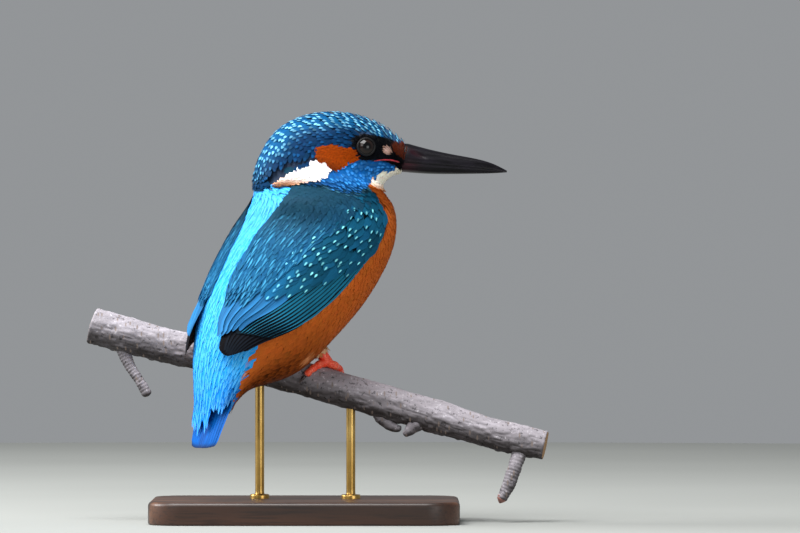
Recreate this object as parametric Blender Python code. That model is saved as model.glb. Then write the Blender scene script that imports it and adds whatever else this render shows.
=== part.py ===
"""A life-size common kingfisher perched on a cut length of branch, on a plain display stand.

Numbers are millimetres and degrees; meshes are written in metres. +Z is up and the
origin is the centre of the stand's underside. The trunk heads 38 degrees behind +X and
the head is turned to look along +X.
"""

import bmesh
import bpy
import numpy as np

MM = 0.001
GAP = 0.3  # air between two solids that touch

# ------------------------------------------------------------------ driving dimensions
BODY_HEADING = 38.0
HEAD_HEADING = 2.0
BODY_ORIGIN = np.array([-2.0, 0.0])  # the trunk's plane of symmetry passes here
HEAD_ORIGIN = np.array([4.0, 4.0])  # the head's plane of symmetry passes here

# Sections from the tail coverts to the root of the bill: how far along the spine, the
# back's and the belly's place in the plane of symmetry (forward, up), the half width, and
# how the section faces. The first nine lie in the trunk's plane, the others in the head's.
SECTIONS = (
    ("coverts", 0.0, (-41.6, 41.0), (-31.8, 42.0), 9.8, BODY_HEADING),
    ("vent", 8.4, (-41.4, 50.0), (-26.4, 45.8), 12.4, BODY_HEADING),
    ("rump", 17.6, (-40.8, 60.0), (-17.5, 48.0), 16.0, BODY_HEADING),
    ("thigh", 27.8, (-38.8, 69.5), (-6.0, 51.8), 20.5, BODY_HEADING),
    ("belly", 40.7, (-35.6, 79.5), (6.5, 61.5), 24.5, BODY_HEADING),
    ("flank", 55.0, (-30.6, 89.0), (19.5, 74.0), 27.0, BODY_HEADING),
    ("breast", 68.5, (-24.8, 98.0), (29.5, 87.0), 27.6, BODY_HEADING),
    ("mantle", 80.6, (-19.0, 106.5), (35.5, 99.5), 26.0, BODY_HEADING),
    ("neck base", 89.8, (-16.5, 113.5), (38.3, 109.3), 22.8, 30.0),
    ("neck", 101.8, (-21.4, 121.5), (22.8, 116.2), 17.0, 17.0),
    ("nape", 107.3, (-19.4, 129.5), (23.6, 118.6), 14.4, 8.0),
    ("occiput", 113.5, (-13.2, 138.0), (25.2, 120.2), 13.2, HEAD_HEADING),
    ("crown", 121.2, (-0.5, 143.4), (26.4, 121.1), 12.6, HEAD_HEADING),
    ("brow", 128.4, (12.6, 143.2), (27.8, 121.6), 11.0, HEAD_HEADING),
    ("forehead", 135.0, (23.8, 139.0), (29.0, 121.9), 8.4, HEAD_HEADING),
    ("bill root", 141.0, (32.6, 132.0), (30.0, 122.2), 4.9, HEAD_HEADING),
)
TRUNK_SECTIONS = 9
SECTION_POWER = 0.93  # 1 is an ellipse, less is fuller
TRUNK_END, NECK_END = 100.0, 106.5  # where the cuts run, along the spine
AROUND = 32

# A folded wing lies on the trunk between an upper and a lower edge: the angle from the
# back's midline at distances along the spine, from the wing tip to the bend.
WING_TIP, WING_BEND = 17.0, 95.5
WING_ALONG = (17, 26, 36, 48, 66, 81, 88, 95.5)
WING_UPPER_EDGE = (28, 14, 10, 8, 9, 16, 28, 46)
WING_LOWER_EDGE = (50, 64, 82, 92, 100, 113, 119, 122)
WING_DEPTH = 1.1  # how far the wing's underside lies in the trunk's outline
UNDER_WING = 2.6 * GAP  # air below it
BED_MARGIN = (2.2, 3.6)  # the trunk is sunk under a wing, wider by this (along, angle)
BED_STEP = (0.5, 0.9)  # and its edge rises over this
BACK_POINTS, BED_POINTS, FRONT_POINTS = 3, 9, 6  # of a trunk section, on each side
WING_EDGE, WING_THICK = 0.7, 1.2
WING_ROUNDING = 0.09  # the share of the wing's length that its rounded ends take up
TIP_LIFT, LIFT_START = 3.4, 0.62  # the tip stands off the rump from this share on

TAIL_TIP = (-42.4, 26.2)
TAIL_HALF_WIDTH = 9.2
TAIL_THICK, TAIL_ROOT_THICKER = 1.1, 2.0
TAIL_ROOT = 0.86  # of the trunk's last section
TAIL_SHARES = (0.3, 0.6, 0.85, 0.96, 1.0)
TAIL_CORNERS = 0.7  # the share of its length where they start to round off

# Outline of the bill in the head's plane, from its root to its tip, as (x, z).
BILL_ROOT, BILL_TIP = 37.0, 70.8
BILL_X = (37.0, 45.0, 54.4, 60.6, 66.9, 70.8)
CULMEN = (132.2, 130.2, 128.3, 127.1, 125.1, 123.0)
GAPE_LINE = (125.6, 125.0, 124.3, 123.8, 123.1, 122.7)
GONYS = (122.5, 121.9, 121.8, 121.9, 122.1, 122.4)
BILL_ROOT_SLANT = 0.265  # the root's plane leans back towards the chin
BILL_HALF_WIDTH, BILL_TIP_WIDTH = 4.5, 0.25
BILL_SHARES = (0.0, 0.12, 0.27, 0.45, 0.63, 0.8, 0.92, 1.0)

EYE_ALONG, EYE_ANGLE = 123.7, 96.5
EYE_RADIUS, EYE_SUNK = 3.9, 2.35

# The branch: centre line (x, z) and radius. It runs a little away from the viewer.
BRANCH_X = (-75.0, -54.3, -40.3, 5.3, 33.3, 50.8, 68.3, 84.0)
BRANCH_Z = (68.6, 62.9, 59.9, 48.4, 40.5, 35.4, 30.4, 26.9)
BRANCH_RADIUS = (6.5, 6.2, 6.1, 6.1, 5.9, 5.6, 5.4, 5.3)
BRANCH_Y_AT_FEET, BRANCH_DRIFT = 4.0, -0.12
LEAF_SCARS = ((-62.0, 4.0, 0.25), (44.0, 6.0, 0.45))  # place, width and height of swellings
CUTTER_OVER_FEET = 2.5
# Dead side shoots and the scar of a lost one: points (x, y from the branch's centre, z)
# and the radius at each.
SHOOTS = {
    "shoot_left": (
        ((-64.5, 0.5, 61.5), (-61.8, -1.5, 54.6), (-58.6, -3.0, 49.6), (-55.6, -3.6, 44.6)),
        (2.7, 1.9, 1.7, 1.75),
    ),
    "shoot_right": (
        ((75.6, 0.5, 27.0), (73.6, -2.6, 20.0), (71.2, -3.8, 13.4), (68.8, -4.2, 8.6)),
        (2.9, 2.35, 2.25, 1.7),
    ),
    "scar_low": (((26.0, 0.0, 38.0), (29.5, -1.0, 34.0), (33.0, -1.8, 32.4)), (2.6, 2.0, 1.3)),
    "scar_high": (((40.5, -0.6, 36.5), (37.6, -2.0, 33.0), (35.2, -2.4, 30.6)), (3.2, 2.6, 1.2)),
}

FOOT_X = {"right": 5.4, "left": -8.6}
FEET_RANGE = (-17.0, 15.0)  # where the toes lie, along the branch
TOE_RADIUS = 0.95
ANKLE, KNEE = (-1.9, -0.8, 3.6), (-5.2, -2.0, 8.6)  # from the sole's pad
PAD_RADIUS, ANKLE_RADIUS, KNEE_RADIUS = 1.7, 1.35, 1.6
# Each toe's start and end on the branch, as distance from the foot and angle around the
# branch from its top, with the far side positive.
TOES = {
    "hind": ((-0.6, -12.0), (-4.4, -72.0)),
    "inner": ((-0.2, 14.0), (1.6, 92.0)),
    "middle": ((1.6, 10.0), (5.0, 106.0)),
    "outer": ((2.8, 4.0), (7.6, 92.0)),
}
CLAW_TURN, CLAW_START = 24.0, 9.5  # around the branch, from the toe's end
CLAW_HEIGHTS = (1.15, 1.3, 1.25, 0.95, 0.55)  # over the bark
CLAW_RADII = (0.6, 0.55, 0.45, 0.32, 0.14)

BASE_LENGTH, BASE_WIDTH, BASE_HEIGHT = 108.0, 72.0, 8.0
BASE_CORNER, BASE_EDGE = 12.0, 1.2
ROD_X = (-16.0, 16.0)
ROD_RADIUS = 1.6
ROD_IN_BASE, ROD_IN_BRANCH = 5.0, 4.0


# ------------------------------------------------------------------ colours
def material(name, colour, roughness, metallic=0.0):
    made = bpy.data.materials.new(name)
    made.use_nodes = True
    shader = made.node_tree.nodes["Principled BSDF"]
    shader.inputs["Base Color"].default_value = (*colour, 1.0)
    shader.inputs["Roughness"].default_value = roughness
    shader.inputs["Metallic"].default_value = metallic
    return made


def make_materials():
    return {
        "blue": material("blue plumage", (0.015, 0.16, 0.32), 0.6),
        "azure": material("azure plumage", (0.02, 0.42, 0.85), 0.55),
        "teal": material("teal plumage", (0.01, 0.12, 0.17), 0.6),
        "orange": material("orange plumage", (0.45, 0.12, 0.02), 0.7),
        "horn": material("black horn", (0.012, 0.010, 0.014), 0.32),
        "eye": material("dark eye", (0.006, 0.005, 0.005), 0.08),
        "foot": material("coral skin", (0.62, 0.07, 0.03), 0.5),
        "bark": material("grey bark", (0.16, 0.14, 0.13), 0.85),
        "walnut": material("stained walnut", (0.07, 0.035, 0.018), 0.4),
        "brass": material("satin brass", (0.62, 0.46, 0.22), 0.3, 1.0),
    }


# ------------------------------------------------------------------ mesh tools
def solid(name, points, faces, finish=None, hidden=False, sharp=40.0):
    """A closed mesh object from points in millimetres, its faces turned outwards."""
    mesh = bpy.data.meshes.new(name)
    mesh.from_pydata((np.asarray(points) * MM).tolist(), [], faces)
    shape = bmesh.new()
    shape.from_mesh(mesh)
    bmesh.ops.recalc_face_normals(shape, faces=shape.faces)
    shape.to_mesh(mesh)
    shape.free()
    mesh.shade_smooth()
    mesh.set_sharp_from_angle(angle=np.radians(sharp))
    made = bpy.data.objects.new(name, mesh)
    bpy.context.scene.collection.objects.link(made)
    if finish:
        mesh.materials.append(finish)
    if hidden:
        made.hide_render = True
        made.display_type = "WIRE"
    return made


def boolean(target, operand, operation):
    change = target.modifiers.new(operation.lower(), "BOOLEAN")
    change.operation = operation
    change.solver = "EXACT"
    change.object = operand


def rings_to_solid(rings):
    """Points and faces of a closed body through rings of equal count, its ends fanned
    to their middles."""
    rings = np.asarray(rings, float)
    count, around = rings.shape[:2]
    points = [*rings.reshape(-1, 3), rings[0].mean(0), rings[-1].mean(0)]
    start, end = count * around, count * around + 1
    faces = []
    for j in range(around):
        k = (j + 1) % around
        for i in range(count - 1):
            low, high = i * around, (i + 1) * around
            faces.append((low + j, low + k, high + k, high + j))
        last = (count - 1) * around
        faces.append((start, k, j))
        faces.append((end, last + j, last + k))
    return points, faces


def spline(knots, values, at):
    """The natural cubic spline through values at the knots."""
    knots = np.asarray(knots, float)
    values = np.asarray(values, float).reshape(len(knots), -1)
    at = np.asarray(at, float)
    width = np.diff(knots)
    matrix = np.eye(len(knots))
    right = np.zeros_like(values)
    slope = np.diff(values, axis=0) / width[:, None]
    for i in range(1, len(knots) - 1):
        matrix[i, i - 1 : i + 2] = width[i - 1], 2 * (width[i - 1] + width[i]), width[i]
        right[i] = 6 * (slope[i] - slope[i - 1])
    bend = np.linalg.solve(matrix, right)
    i = np.clip(np.searchsorted(knots, at, side="right") - 1, 0, len(knots) - 2)
    after, before = (at - knots[i])[..., None], (knots[i + 1] - at)[..., None]
    span = width[i][..., None]
    return (
        (bend[i] * before**3 + bend[i + 1] * after**3) / (6 * span)
        + (values[i] / span - bend[i] * span / 6) * before
        + (values[i + 1] / span - bend[i + 1] * span / 6) * after
    )


def smooth(low, high, x):
    """0 below low, 1 above high, and an S curve between them."""
    t = np.clip((np.asarray(x, float) - low) / (high - low), 0, 1)
    return t * t * (3 - 2 * t)


# ------------------------------------------------------------------ the bird's form
def heading(degrees):
    turn = np.radians(degrees)
    return np.array([np.cos(turn), np.sin(turn)])


def in_plane(origin, degrees, forward, up):
    return [*(origin + forward * heading(degrees)), up]


def section_rows():
    rows = []
    for i, (_, _, back, belly, half_width, turn) in enumerate(SECTIONS):
        on_trunk = i < TRUNK_SECTIONS
        plane = (BODY_ORIGIN, BODY_HEADING) if on_trunk else (HEAD_ORIGIN, HEAD_HEADING)
        rows.append([*in_plane(*plane, *back), *in_plane(*plane, *belly), half_width, turn])
    return np.array(rows)


ROWS = section_rows()
ALONG = np.array([section[1] for section in SECTIONS])
LENGTH = ALONG[-1]


def form(along, angle):
    """Points on the bird's outline: distance along the spine, and angle in degrees from
    the back's midline towards its right side."""
    along, angle = np.broadcast_arrays(np.asarray(along, float), np.asarray(angle, float))
    found = spline(ALONG, ROWS, along)
    back, belly, half_width, turn = found[..., :3], found[..., 3:6], found[..., 6], found[..., 7]
    turn, angle = np.radians(turn), np.radians(angle)
    side = np.stack([np.sin(turn), -np.cos(turn), np.zeros_like(turn)], -1)
    up = np.sign(np.cos(angle)) * np.abs(np.cos(angle)) ** SECTION_POWER
    out = np.sign(np.sin(angle)) * np.abs(np.sin(angle)) ** SECTION_POWER
    return (back + belly) / 2 + up[..., None] * (back - belly) / 2 + (out * half_width)[..., None] * side


def normal(along, angle):
    """Unit normals that point out of the form."""
    step = 0.4
    ahead = form(np.minimum(along + step, LENGTH), angle) - form(np.maximum(along - step, 0), angle)
    across = form(along, angle + step) - form(along, angle - step)
    out = np.cross(across, ahead)
    return out / np.linalg.norm(out, axis=-1, keepdims=True)


def ring(along, shift=0.0):
    """One section, moved along its own normal by shift towards the head."""
    angles = np.linspace(0, 360, AROUND, endpoint=False)
    points = form(along, angles)
    across = points[AROUND // 4] - points[3 * AROUND // 4]
    up = points[0] - points[AROUND // 2]
    ahead = np.cross(up, across)
    return points + shift * ahead / np.linalg.norm(ahead)


def length_of_form(name, start, end, count, finish):
    places = np.linspace(start, end, count)
    rings = [ring(start, GAP), *(ring(a) for a in places[1:])]
    return solid(name, *rings_to_solid(rings), finish)


# ------------------------------------------------------------------ wings and tail
def wing_edges(along):
    upper = spline(WING_ALONG, WING_UPPER_EDGE, along)[..., 0]
    lower = spline(WING_ALONG, WING_LOWER_EDGE, along)[..., 0]
    return upper, lower


def trunk_ring(along, under_wing):
    """One section of the trunk, which is sunk where a wing lies on it. Its points run
    down the right side and up the left one."""
    upper, lower = wing_edges(np.clip(along, WING_TIP, WING_BEND))
    margin, step = BED_MARGIN[1], BED_STEP[1]
    back = np.linspace(0, upper - margin - step, BACK_POINTS)
    bed = np.linspace(upper - margin, lower + margin, BED_POINTS)
    front = np.linspace(lower + margin + step, 180, FRONT_POINTS)
    angle = np.concatenate([back, bed, front])
    depth = WING_DEPTH + UNDER_WING if under_wing else BED_STEP[0] * GAP
    sunk = np.repeat((0, depth, 0), (BACK_POINTS, BED_POINTS, FRONT_POINTS))
    angle = np.concatenate([angle, -angle[-2:0:-1]])
    sunk = np.concatenate([sunk, sunk[-2:0:-1]])
    return form(along, angle) - sunk[:, None] * normal(along, angle)


def make_trunk(finish):
    low, high = WING_TIP - BED_MARGIN[0], WING_BEND + BED_MARGIN[0]
    rings = [trunk_ring(a, False) for a in np.linspace(0, low - BED_STEP[0], 4)]
    rings += [trunk_ring(a, True) for a in np.linspace(low, high, 18)]
    rings += [trunk_ring(a, False) for a in (high + BED_STEP[0], TRUNK_END)]
    return solid("trunk", *rings_to_solid(rings), finish)


def wing_sheet(side, share, across, height):
    """Points of a folded wing: share runs from the bend to the tip, across from the upper
    edge to the lower one, and height is measured from the trunk's outline."""
    share, across = np.meshgrid(share, across, indexing="ij")
    along = WING_BEND + (WING_TIP - WING_BEND) * share
    upper, lower = wing_edges(along)
    from_end = np.clip(np.minimum(share, 1 - share) / WING_ROUNDING, 0, 1)
    rounded = 0.4 + 0.6 * np.sqrt(1 - (1 - from_end) ** 2)
    angle = (upper + lower) / 2 + (across - 0.5) * (lower - upper) * rounded
    angle = angle if side == "right" else -angle
    return form(along, angle) + height(share, across)[..., None] * normal(along, angle)


def sheet_to_solid(under, over):
    """Points and faces of a plate between two grids of the same size."""
    rows, columns = under.shape[:2]
    points = [*under.reshape(-1, 3), *over.reshape(-1, 3)]
    size = rows * columns
    faces = []
    for i in range(rows - 1):
        for j in range(columns - 1):
            corner = i * columns + j
            quad = (corner, corner + 1, corner + columns + 1, corner + columns)
            faces.append(quad)
            faces.append(tuple(size + v for v in reversed(quad)))
    border = [j for j in range(columns)]
    border += [i * columns + columns - 1 for i in range(1, rows)]
    border += [(rows - 1) * columns + j for j in range(columns - 2, -1, -1)]
    border += [i * columns for i in range(rows - 2, 0, -1)]
    for a, b in zip(border, border[1:] + border[:1]):
        faces.append((b, a, size + a, size + b))
    return points, faces


def make_wing(side, finish):
    share, across = (1 - np.cos(np.linspace(0, np.pi, 19))) / 2, np.linspace(0, 1, 7)

    def underside(s, a):
        return TIP_LIFT * smooth(LIFT_START, 1.0, s) - WING_DEPTH

    def top(s, a):
        crown = np.sqrt(np.clip(np.sin(np.pi * a) * np.sin(np.pi * s), 0, 1))
        return underside(s, a) + WING_EDGE + (WING_THICK - WING_EDGE * s) * crown

    grids = [wing_sheet(side, share, across, face) for face in (underside, top)]
    solid(f"wing_{side}", *sheet_to_solid(*grids), finish)


def make_tail(finish):
    """The closed tail below its coverts: flat oval sections from the trunk's end to the
    tip, the corners of the tip rounded off."""
    root = ring(0.0, -GAP)
    middle = root.mean(0)
    tip = np.array(in_plane(BODY_ORIGIN, BODY_HEADING, *TAIL_TIP))
    ahead = np.array([*heading(BODY_HEADING), 0.0])
    side = np.array([*heading(BODY_HEADING - 90), 0.0])
    angles = np.radians(np.linspace(0, 360, AROUND, endpoint=False))
    rings = [middle + (root - middle) * TAIL_ROOT]
    for share in TAIL_SHARES:
        half = TAIL_HALF_WIDTH * np.sqrt(1 - max(0, share - TAIL_CORNERS) ** 2 * 6.5)
        thick = (TAIL_THICK + (1 - share) * TAIL_ROOT_THICKER) / 2
        centre = middle + (tip - middle) * share
        flat = np.cos(angles)[:, None] * -ahead * thick + np.sin(angles)[:, None] * side * half
        rings.append(centre + flat)
    return solid("tail", *rings_to_solid(rings[::-1]), finish)


# ------------------------------------------------------------------ bill and eyes
def make_bill(name, upper, finish):
    """One mandible: sections between the gape line and the culmen or the gonys. The
    upper one is roof shaped, the lower one is a trough, and both narrow to the tip."""
    arc = np.radians(np.linspace(0, 180, 11))
    ahead = np.array([*heading(HEAD_HEADING), 0.0])
    side = np.array([*heading(HEAD_HEADING - 90), 0.0])
    rings = []
    for share in BILL_SHARES:
        x = BILL_ROOT + (BILL_TIP - BILL_ROOT) * share
        edge = spline(BILL_X, CULMEN if upper else GONYS, x)[0]
        gape = spline(BILL_X, GAPE_LINE, x)[0] + (GAP / 2 if upper else -GAP / 2)
        half = BILL_HALF_WIDTH * (1 - share) ** 0.85 + BILL_TIP_WIDTH
        height = max(abs(edge - gape), BILL_TIP_WIDTH)
        power = 1.25 if upper else 0.8
        across = half * np.cos(arc)
        lift = height * np.sin(arc) ** power
        across = np.append(across, [-half * 0.4, half * 0.4])
        lift = np.append(lift, [0.0, 0.0])
        z = gape + (lift if upper else -lift)
        start = BILL_ROOT + GAP + BILL_ROOT_SLANT * (z - CULMEN[0])
        forward = start + (BILL_TIP - start) * share - HEAD_ORIGIN[0]
        flat = np.append(HEAD_ORIGIN, 0) + forward[:, None] * ahead + across[:, None] * side
        rings.append(flat + np.stack([0 * z, 0 * z, z], -1))
    return solid(name, *rings_to_solid(rings), finish, sharp=60)


def ball(name, centre, radius, finish=None, hidden=False):
    mesh = bpy.data.meshes.new(name)
    shape = bmesh.new()
    bmesh.ops.create_uvsphere(shape, u_segments=14, v_segments=8, radius=radius * MM)
    bmesh.ops.translate(shape, verts=shape.verts, vec=np.asarray(centre) * MM)
    shape.to_mesh(mesh)
    shape.free()
    mesh.shade_smooth()
    made = bpy.data.objects.new(name, mesh)
    bpy.context.scene.collection.objects.link(made)
    if finish:
        mesh.materials.append(finish)
    if hidden:
        made.hide_render = True
        made.display_type = "WIRE"
    return made


def make_eye(side, head, finish):
    """An eyeball set in a socket of the head, so that only its front cap shows."""
    angle = EYE_ANGLE if side == "right" else -EYE_ANGLE
    centre = form(EYE_ALONG, angle) - EYE_SUNK * normal(EYE_ALONG, angle)
    ball(f"eye_{side}", centre, EYE_RADIUS, finish)
    boolean(head, ball(f"socket_{side}", centre, EYE_RADIUS + GAP, hidden=True), "DIFFERENCE")


# ------------------------------------------------------------------ perch
def branch_line(x):
    """The branch's centre, its directions along, up and to the far side, and radius."""
    x = np.asarray(x, float)
    y = BRANCH_Y_AT_FEET + BRANCH_DRIFT * (x - BRANCH_X[3])
    centre = np.stack([x, y, spline(BRANCH_X, BRANCH_Z, x)[..., 0]], -1)
    rise = (spline(BRANCH_X, BRANCH_Z, x + 0.5) - spline(BRANCH_X, BRANCH_Z, x - 0.5))[..., 0]
    along = np.stack([np.ones_like(x), np.full_like(x, BRANCH_DRIFT), rise], -1)
    along /= np.linalg.norm(along, axis=-1, keepdims=True)
    up = np.array([0.0, 0.0, 1.0]) - along[..., 2:] * along
    up /= np.linalg.norm(up, axis=-1, keepdims=True)
    return centre, along, up, np.cross(up, along), spline(BRANCH_X, BRANCH_RADIUS, x)[..., 0]


def on_branch(x, degrees, height):
    """A point at that height over the bark, at an angle from the branch's top."""
    centre, _, up, far, radius = branch_line(x)
    turn = np.radians(degrees)
    return centre + (radius + height) * (np.cos(turn) * up + np.sin(turn) * far)


def tube(path, radii, around=8):
    """Points and faces of a round bar along a path, with rounded ends."""
    path, radii = np.asarray(path, float), np.asarray(radii, float)
    ahead = np.gradient(path, axis=0)
    ahead /= np.linalg.norm(ahead, axis=1, keepdims=True)
    across = np.cross(ahead[0], [0.31, 0.85, 0.42])
    turn = np.linspace(0, 2 * np.pi, around, endpoint=False)
    rings = []
    for point, direction, radius in zip(path, ahead, radii):
        across = across - (across @ direction) * direction
        across = across / np.linalg.norm(across)
        other = np.cross(direction, across)
        circle = np.cos(turn)[:, None] * across + np.sin(turn)[:, None] * other
        rings.append(point + radius * circle)
    first, last = rings[0], rings[-1]
    start = path[0] - ahead[0] * radii[0] * 0.45 + 0.6 * (first - path[0])
    end = path[-1] + ahead[-1] * radii[-1] * 0.45 + 0.6 * (last - path[-1])
    return rings_to_solid([start, *rings, end])


def make_branch(name, finish=None, grown=0.0, over_feet=0.0):
    """The cut length of branch, round, with faint swellings at its old leaf scars. As a
    cutter it is larger all over, and larger still where the feet grip it."""
    hidden = finish is None
    x = np.linspace(BRANCH_X[0], BRANCH_X[-1], 24)
    centre, _, up, far, radius = branch_line(x)
    turn = np.radians(np.linspace(0, 360, 16, endpoint=False))
    swell = sum(high * np.exp(-(((x - place) / width) ** 2)) for place, width, high in LEAF_SCARS)
    swell = 0 if hidden else swell
    at_feet = smooth(FEET_RANGE[0] - 5, FEET_RANGE[0], x) - smooth(FEET_RANGE[1], FEET_RANGE[1] + 5, x)
    radius = radius + swell + grown + over_feet * at_feet
    circle = np.cos(turn)[None, :, None] * up[:, None] + np.sin(turn)[None, :, None] * far[:, None]
    rings = centre[:, None] + radius[:, None, None] * circle
    return solid(name, *rings_to_solid(rings), finish, hidden)


def make_perch(finish):
    """The branch with its two dead side shoots and the scar of a lost one."""
    perch = make_branch("perch", finish)
    for name, (path, radii) in SHOOTS.items():
        path = np.array(path) + [0, branch_line(path[0][0])[0][1], 0]
        boolean(perch, solid(name, *tube(path, radii, 8), hidden=True), "UNION")
    return perch


# ------------------------------------------------------------------ legs and claws
def make_leg(side, trunk, finish, horn):
    """A short tarsus out of the belly's plumage and four toes that grip the branch,
    each with a claw of its own."""
    foot = FOOT_X[side]
    height = TOE_RADIUS + GAP
    pad = on_branch(foot, 0.0, height + 0.3)
    ankle, knee = pad + ANKLE, pad + KNEE
    radii = np.array([PAD_RADIUS, ANKLE_RADIUS, KNEE_RADIUS])
    leg = solid(f"leg_{side}", *tube([pad, ankle, knee], radii), finish)
    room = tube([pad, ankle, knee + (knee - ankle) * 0.08], radii + (GAP, 2 * GAP, 2 * GAP))
    boolean(trunk, solid(f"room_for_leg_{side}", *room, hidden=True), "DIFFERENCE")
    for toe, ((from_x, from_turn), (to_x, to_turn)) in TOES.items():
        share = np.linspace(0, 1, 7)
        turn = from_turn + (to_turn - from_turn) * share
        x = foot + from_x + (to_x - from_x) * share
        radii = TOE_RADIUS * (1.12 - 0.22 * share + 0.06 * np.cos(share * 18))
        path = [pad, *(on_branch(a, b, height) for a, b in zip(x, turn))]
        radii = [TOE_RADIUS, *radii]
        boolean(leg, solid(f"toe_{side}_{toe}", *tube(path, radii), hidden=True), "UNION")
        sign = np.sign(to_turn - from_turn)
        slope = (to_x - from_x) / (to_turn - from_turn)
        claw_turn = sign * (np.linspace(0, CLAW_TURN, len(CLAW_RADII)) + CLAW_START)
        claw_path = [
            on_branch(x[-1] + slope * t, turn[-1] + t, h) for t, h in zip(claw_turn, CLAW_HEIGHTS)
        ]
        claw = tube(claw_path, CLAW_RADII, 6)
        solid(f"claw_{side}_{toe}", *claw, horn)


# ------------------------------------------------------------------ stand
def make_base(finish):
    """A plain board with rounded corners and eased edges."""
    arc = np.radians(np.linspace(0, 90, 6))
    corners = []
    for turn, (sx, sy) in enumerate(((1, 1), (-1, 1), (-1, -1), (1, -1))):
        centre = np.array([sx * (BASE_LENGTH / 2 - BASE_CORNER), sy * (BASE_WIDTH / 2 - BASE_CORNER)])
        angle = arc + turn * np.pi / 2
        corners.append(centre + BASE_CORNER * np.stack([np.cos(angle), np.sin(angle)], -1))
    outline = np.concatenate(corners)
    levels = (
        (0.0, 0.5 * BASE_EDGE),
        (0.5 * BASE_EDGE, 0.0),
        (BASE_HEIGHT - BASE_EDGE, 0.0),
        (BASE_HEIGHT - 0.3 * BASE_EDGE, 0.3 * BASE_EDGE),
        (BASE_HEIGHT, BASE_EDGE),
    )
    rings = []
    for z, inset in levels:
        scale = np.array([1 - 2 * inset / BASE_LENGTH, 1 - 2 * inset / BASE_WIDTH])
        rings.append(np.column_stack([outline * scale, np.full(len(outline), z)]))
    return solid("stand_base", *rings_to_solid(rings), finish, sharp=30)


def rod(name, x, y, low, high, radius, finish=None):
    return solid(name, *rings_to_solid(rod_rings(x, y, low, high, radius)), finish, hidden=finish is None)


def rod_rings(x, y, low, high, radius):
    turn = np.linspace(0, 2 * np.pi, 20, endpoint=False)
    circle = np.column_stack([x + radius * np.cos(turn), y + radius * np.sin(turn)])
    return [np.column_stack([circle, np.full(20, z)]) for z in (low, high)]


def make_rods(base, perch, finish):
    """Two rods, let into holes in the board and in the underside of the branch."""
    for side, x in zip(("left", "right"), ROD_X):
        centre, *_, radius = branch_line(x)
        foot = BASE_HEIGHT - ROD_IN_BASE
        head = centre[2] - radius + ROD_IN_BRANCH
        rod(f"stand_rod_{side}", x, centre[1], foot, head, ROD_RADIUS, finish)
        wide = ROD_RADIUS + GAP
        below = rod(f"hole_in_base_{side}", x, centre[1], foot - GAP, BASE_HEIGHT + 2, wide)
        above = rod(f"hole_in_perch_{side}", x, centre[1], head - ROD_IN_BRANCH - 3, head + GAP, wide)
        boolean(base, below, "DIFFERENCE")
        boolean(perch, above, "DIFFERENCE")


def main():
    for old in list(bpy.data.objects):
        bpy.data.objects.remove(old)
    paint = make_materials()

    trunk = make_trunk(paint["orange"])
    length_of_form("neck", TRUNK_END, NECK_END, 4, paint["blue"])
    head = length_of_form("head", NECK_END, LENGTH, 14, paint["blue"])
    for side in ("right", "left"):
        make_wing(side, paint["teal"])
        make_eye(side, head, paint["eye"])
    make_tail(paint["azure"])
    make_bill("bill_upper", True, paint["horn"])
    make_bill("bill_lower", False, paint["horn"])

    perch = make_perch(paint["bark"])
    boolean(trunk, make_branch("room_for_branch", grown=GAP + 0.1, over_feet=CUTTER_OVER_FEET), "DIFFERENCE")
    for side in ("right", "left"):
        make_leg(side, trunk, paint["foot"], paint["horn"])
    base = make_base(paint["walnut"])
    make_rods(base, perch, paint["brass"])


main()
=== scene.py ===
"""Looks of a life-size common kingfisher on a cut length of branch, held by a plain stand.

Lengths are millimetres and angles are degrees; meshes are written in metres. +X is the way
the bill points, +Z is up, and the origin is the centre of the stand's underside.
"""

import itertools

import bpy
import numpy as np
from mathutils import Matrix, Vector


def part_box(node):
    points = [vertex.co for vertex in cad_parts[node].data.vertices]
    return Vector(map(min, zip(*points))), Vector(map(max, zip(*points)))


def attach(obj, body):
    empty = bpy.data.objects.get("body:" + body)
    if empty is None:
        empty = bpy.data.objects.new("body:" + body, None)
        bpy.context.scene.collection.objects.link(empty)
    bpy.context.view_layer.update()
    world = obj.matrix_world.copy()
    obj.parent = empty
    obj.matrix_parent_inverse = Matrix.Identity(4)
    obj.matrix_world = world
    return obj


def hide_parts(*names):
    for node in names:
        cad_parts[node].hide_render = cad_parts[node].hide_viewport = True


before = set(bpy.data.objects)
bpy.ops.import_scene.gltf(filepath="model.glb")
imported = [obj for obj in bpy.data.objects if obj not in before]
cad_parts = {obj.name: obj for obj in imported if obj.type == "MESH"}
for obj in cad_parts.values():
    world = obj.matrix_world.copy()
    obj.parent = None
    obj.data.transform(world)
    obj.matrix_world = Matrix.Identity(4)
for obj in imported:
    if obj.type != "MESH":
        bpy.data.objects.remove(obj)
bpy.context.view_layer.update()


# ---------------------------------------------------------------- board
# The stand's board is a flat block of walnut. It is sawn, its corners are rounded and its
# edges eased, and it is stained and rubbed with oil, so that it shines softly.
MM = 0.001
BOARD_CORNER, BOARD_EASE = 12.0, 1.5
WALNUT_DARK, WALNUT_MID, WALNUT_LIGHT = "#24150d", "#43281a", "#5f3d28"
BOARD_FOOT = ((0.0, 0.6), (0.3, 0.15), (0.8, 0.0))  # heights and insets of its lower edge
GROWTH_RING, PORE = 7.0, 0.35  # widths across the grain
WAVE_TURN = 6.3  # a wave texture's scale for one ring


def linear(code):
    """Linear RGB of an sRGB hex value: a channel c of 0 to 1 becomes c / 12.92 up to
    0.04045 and ((c + 0.055) / 1.055) ** 2.4 above it."""
    channels = np.array([int(code[i : i + 2], 16) for i in (1, 3, 5)]) / 255
    return np.where(channels <= 0.04045, channels / 12.92, ((channels + 0.055) / 1.055) ** 2.4)


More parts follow.
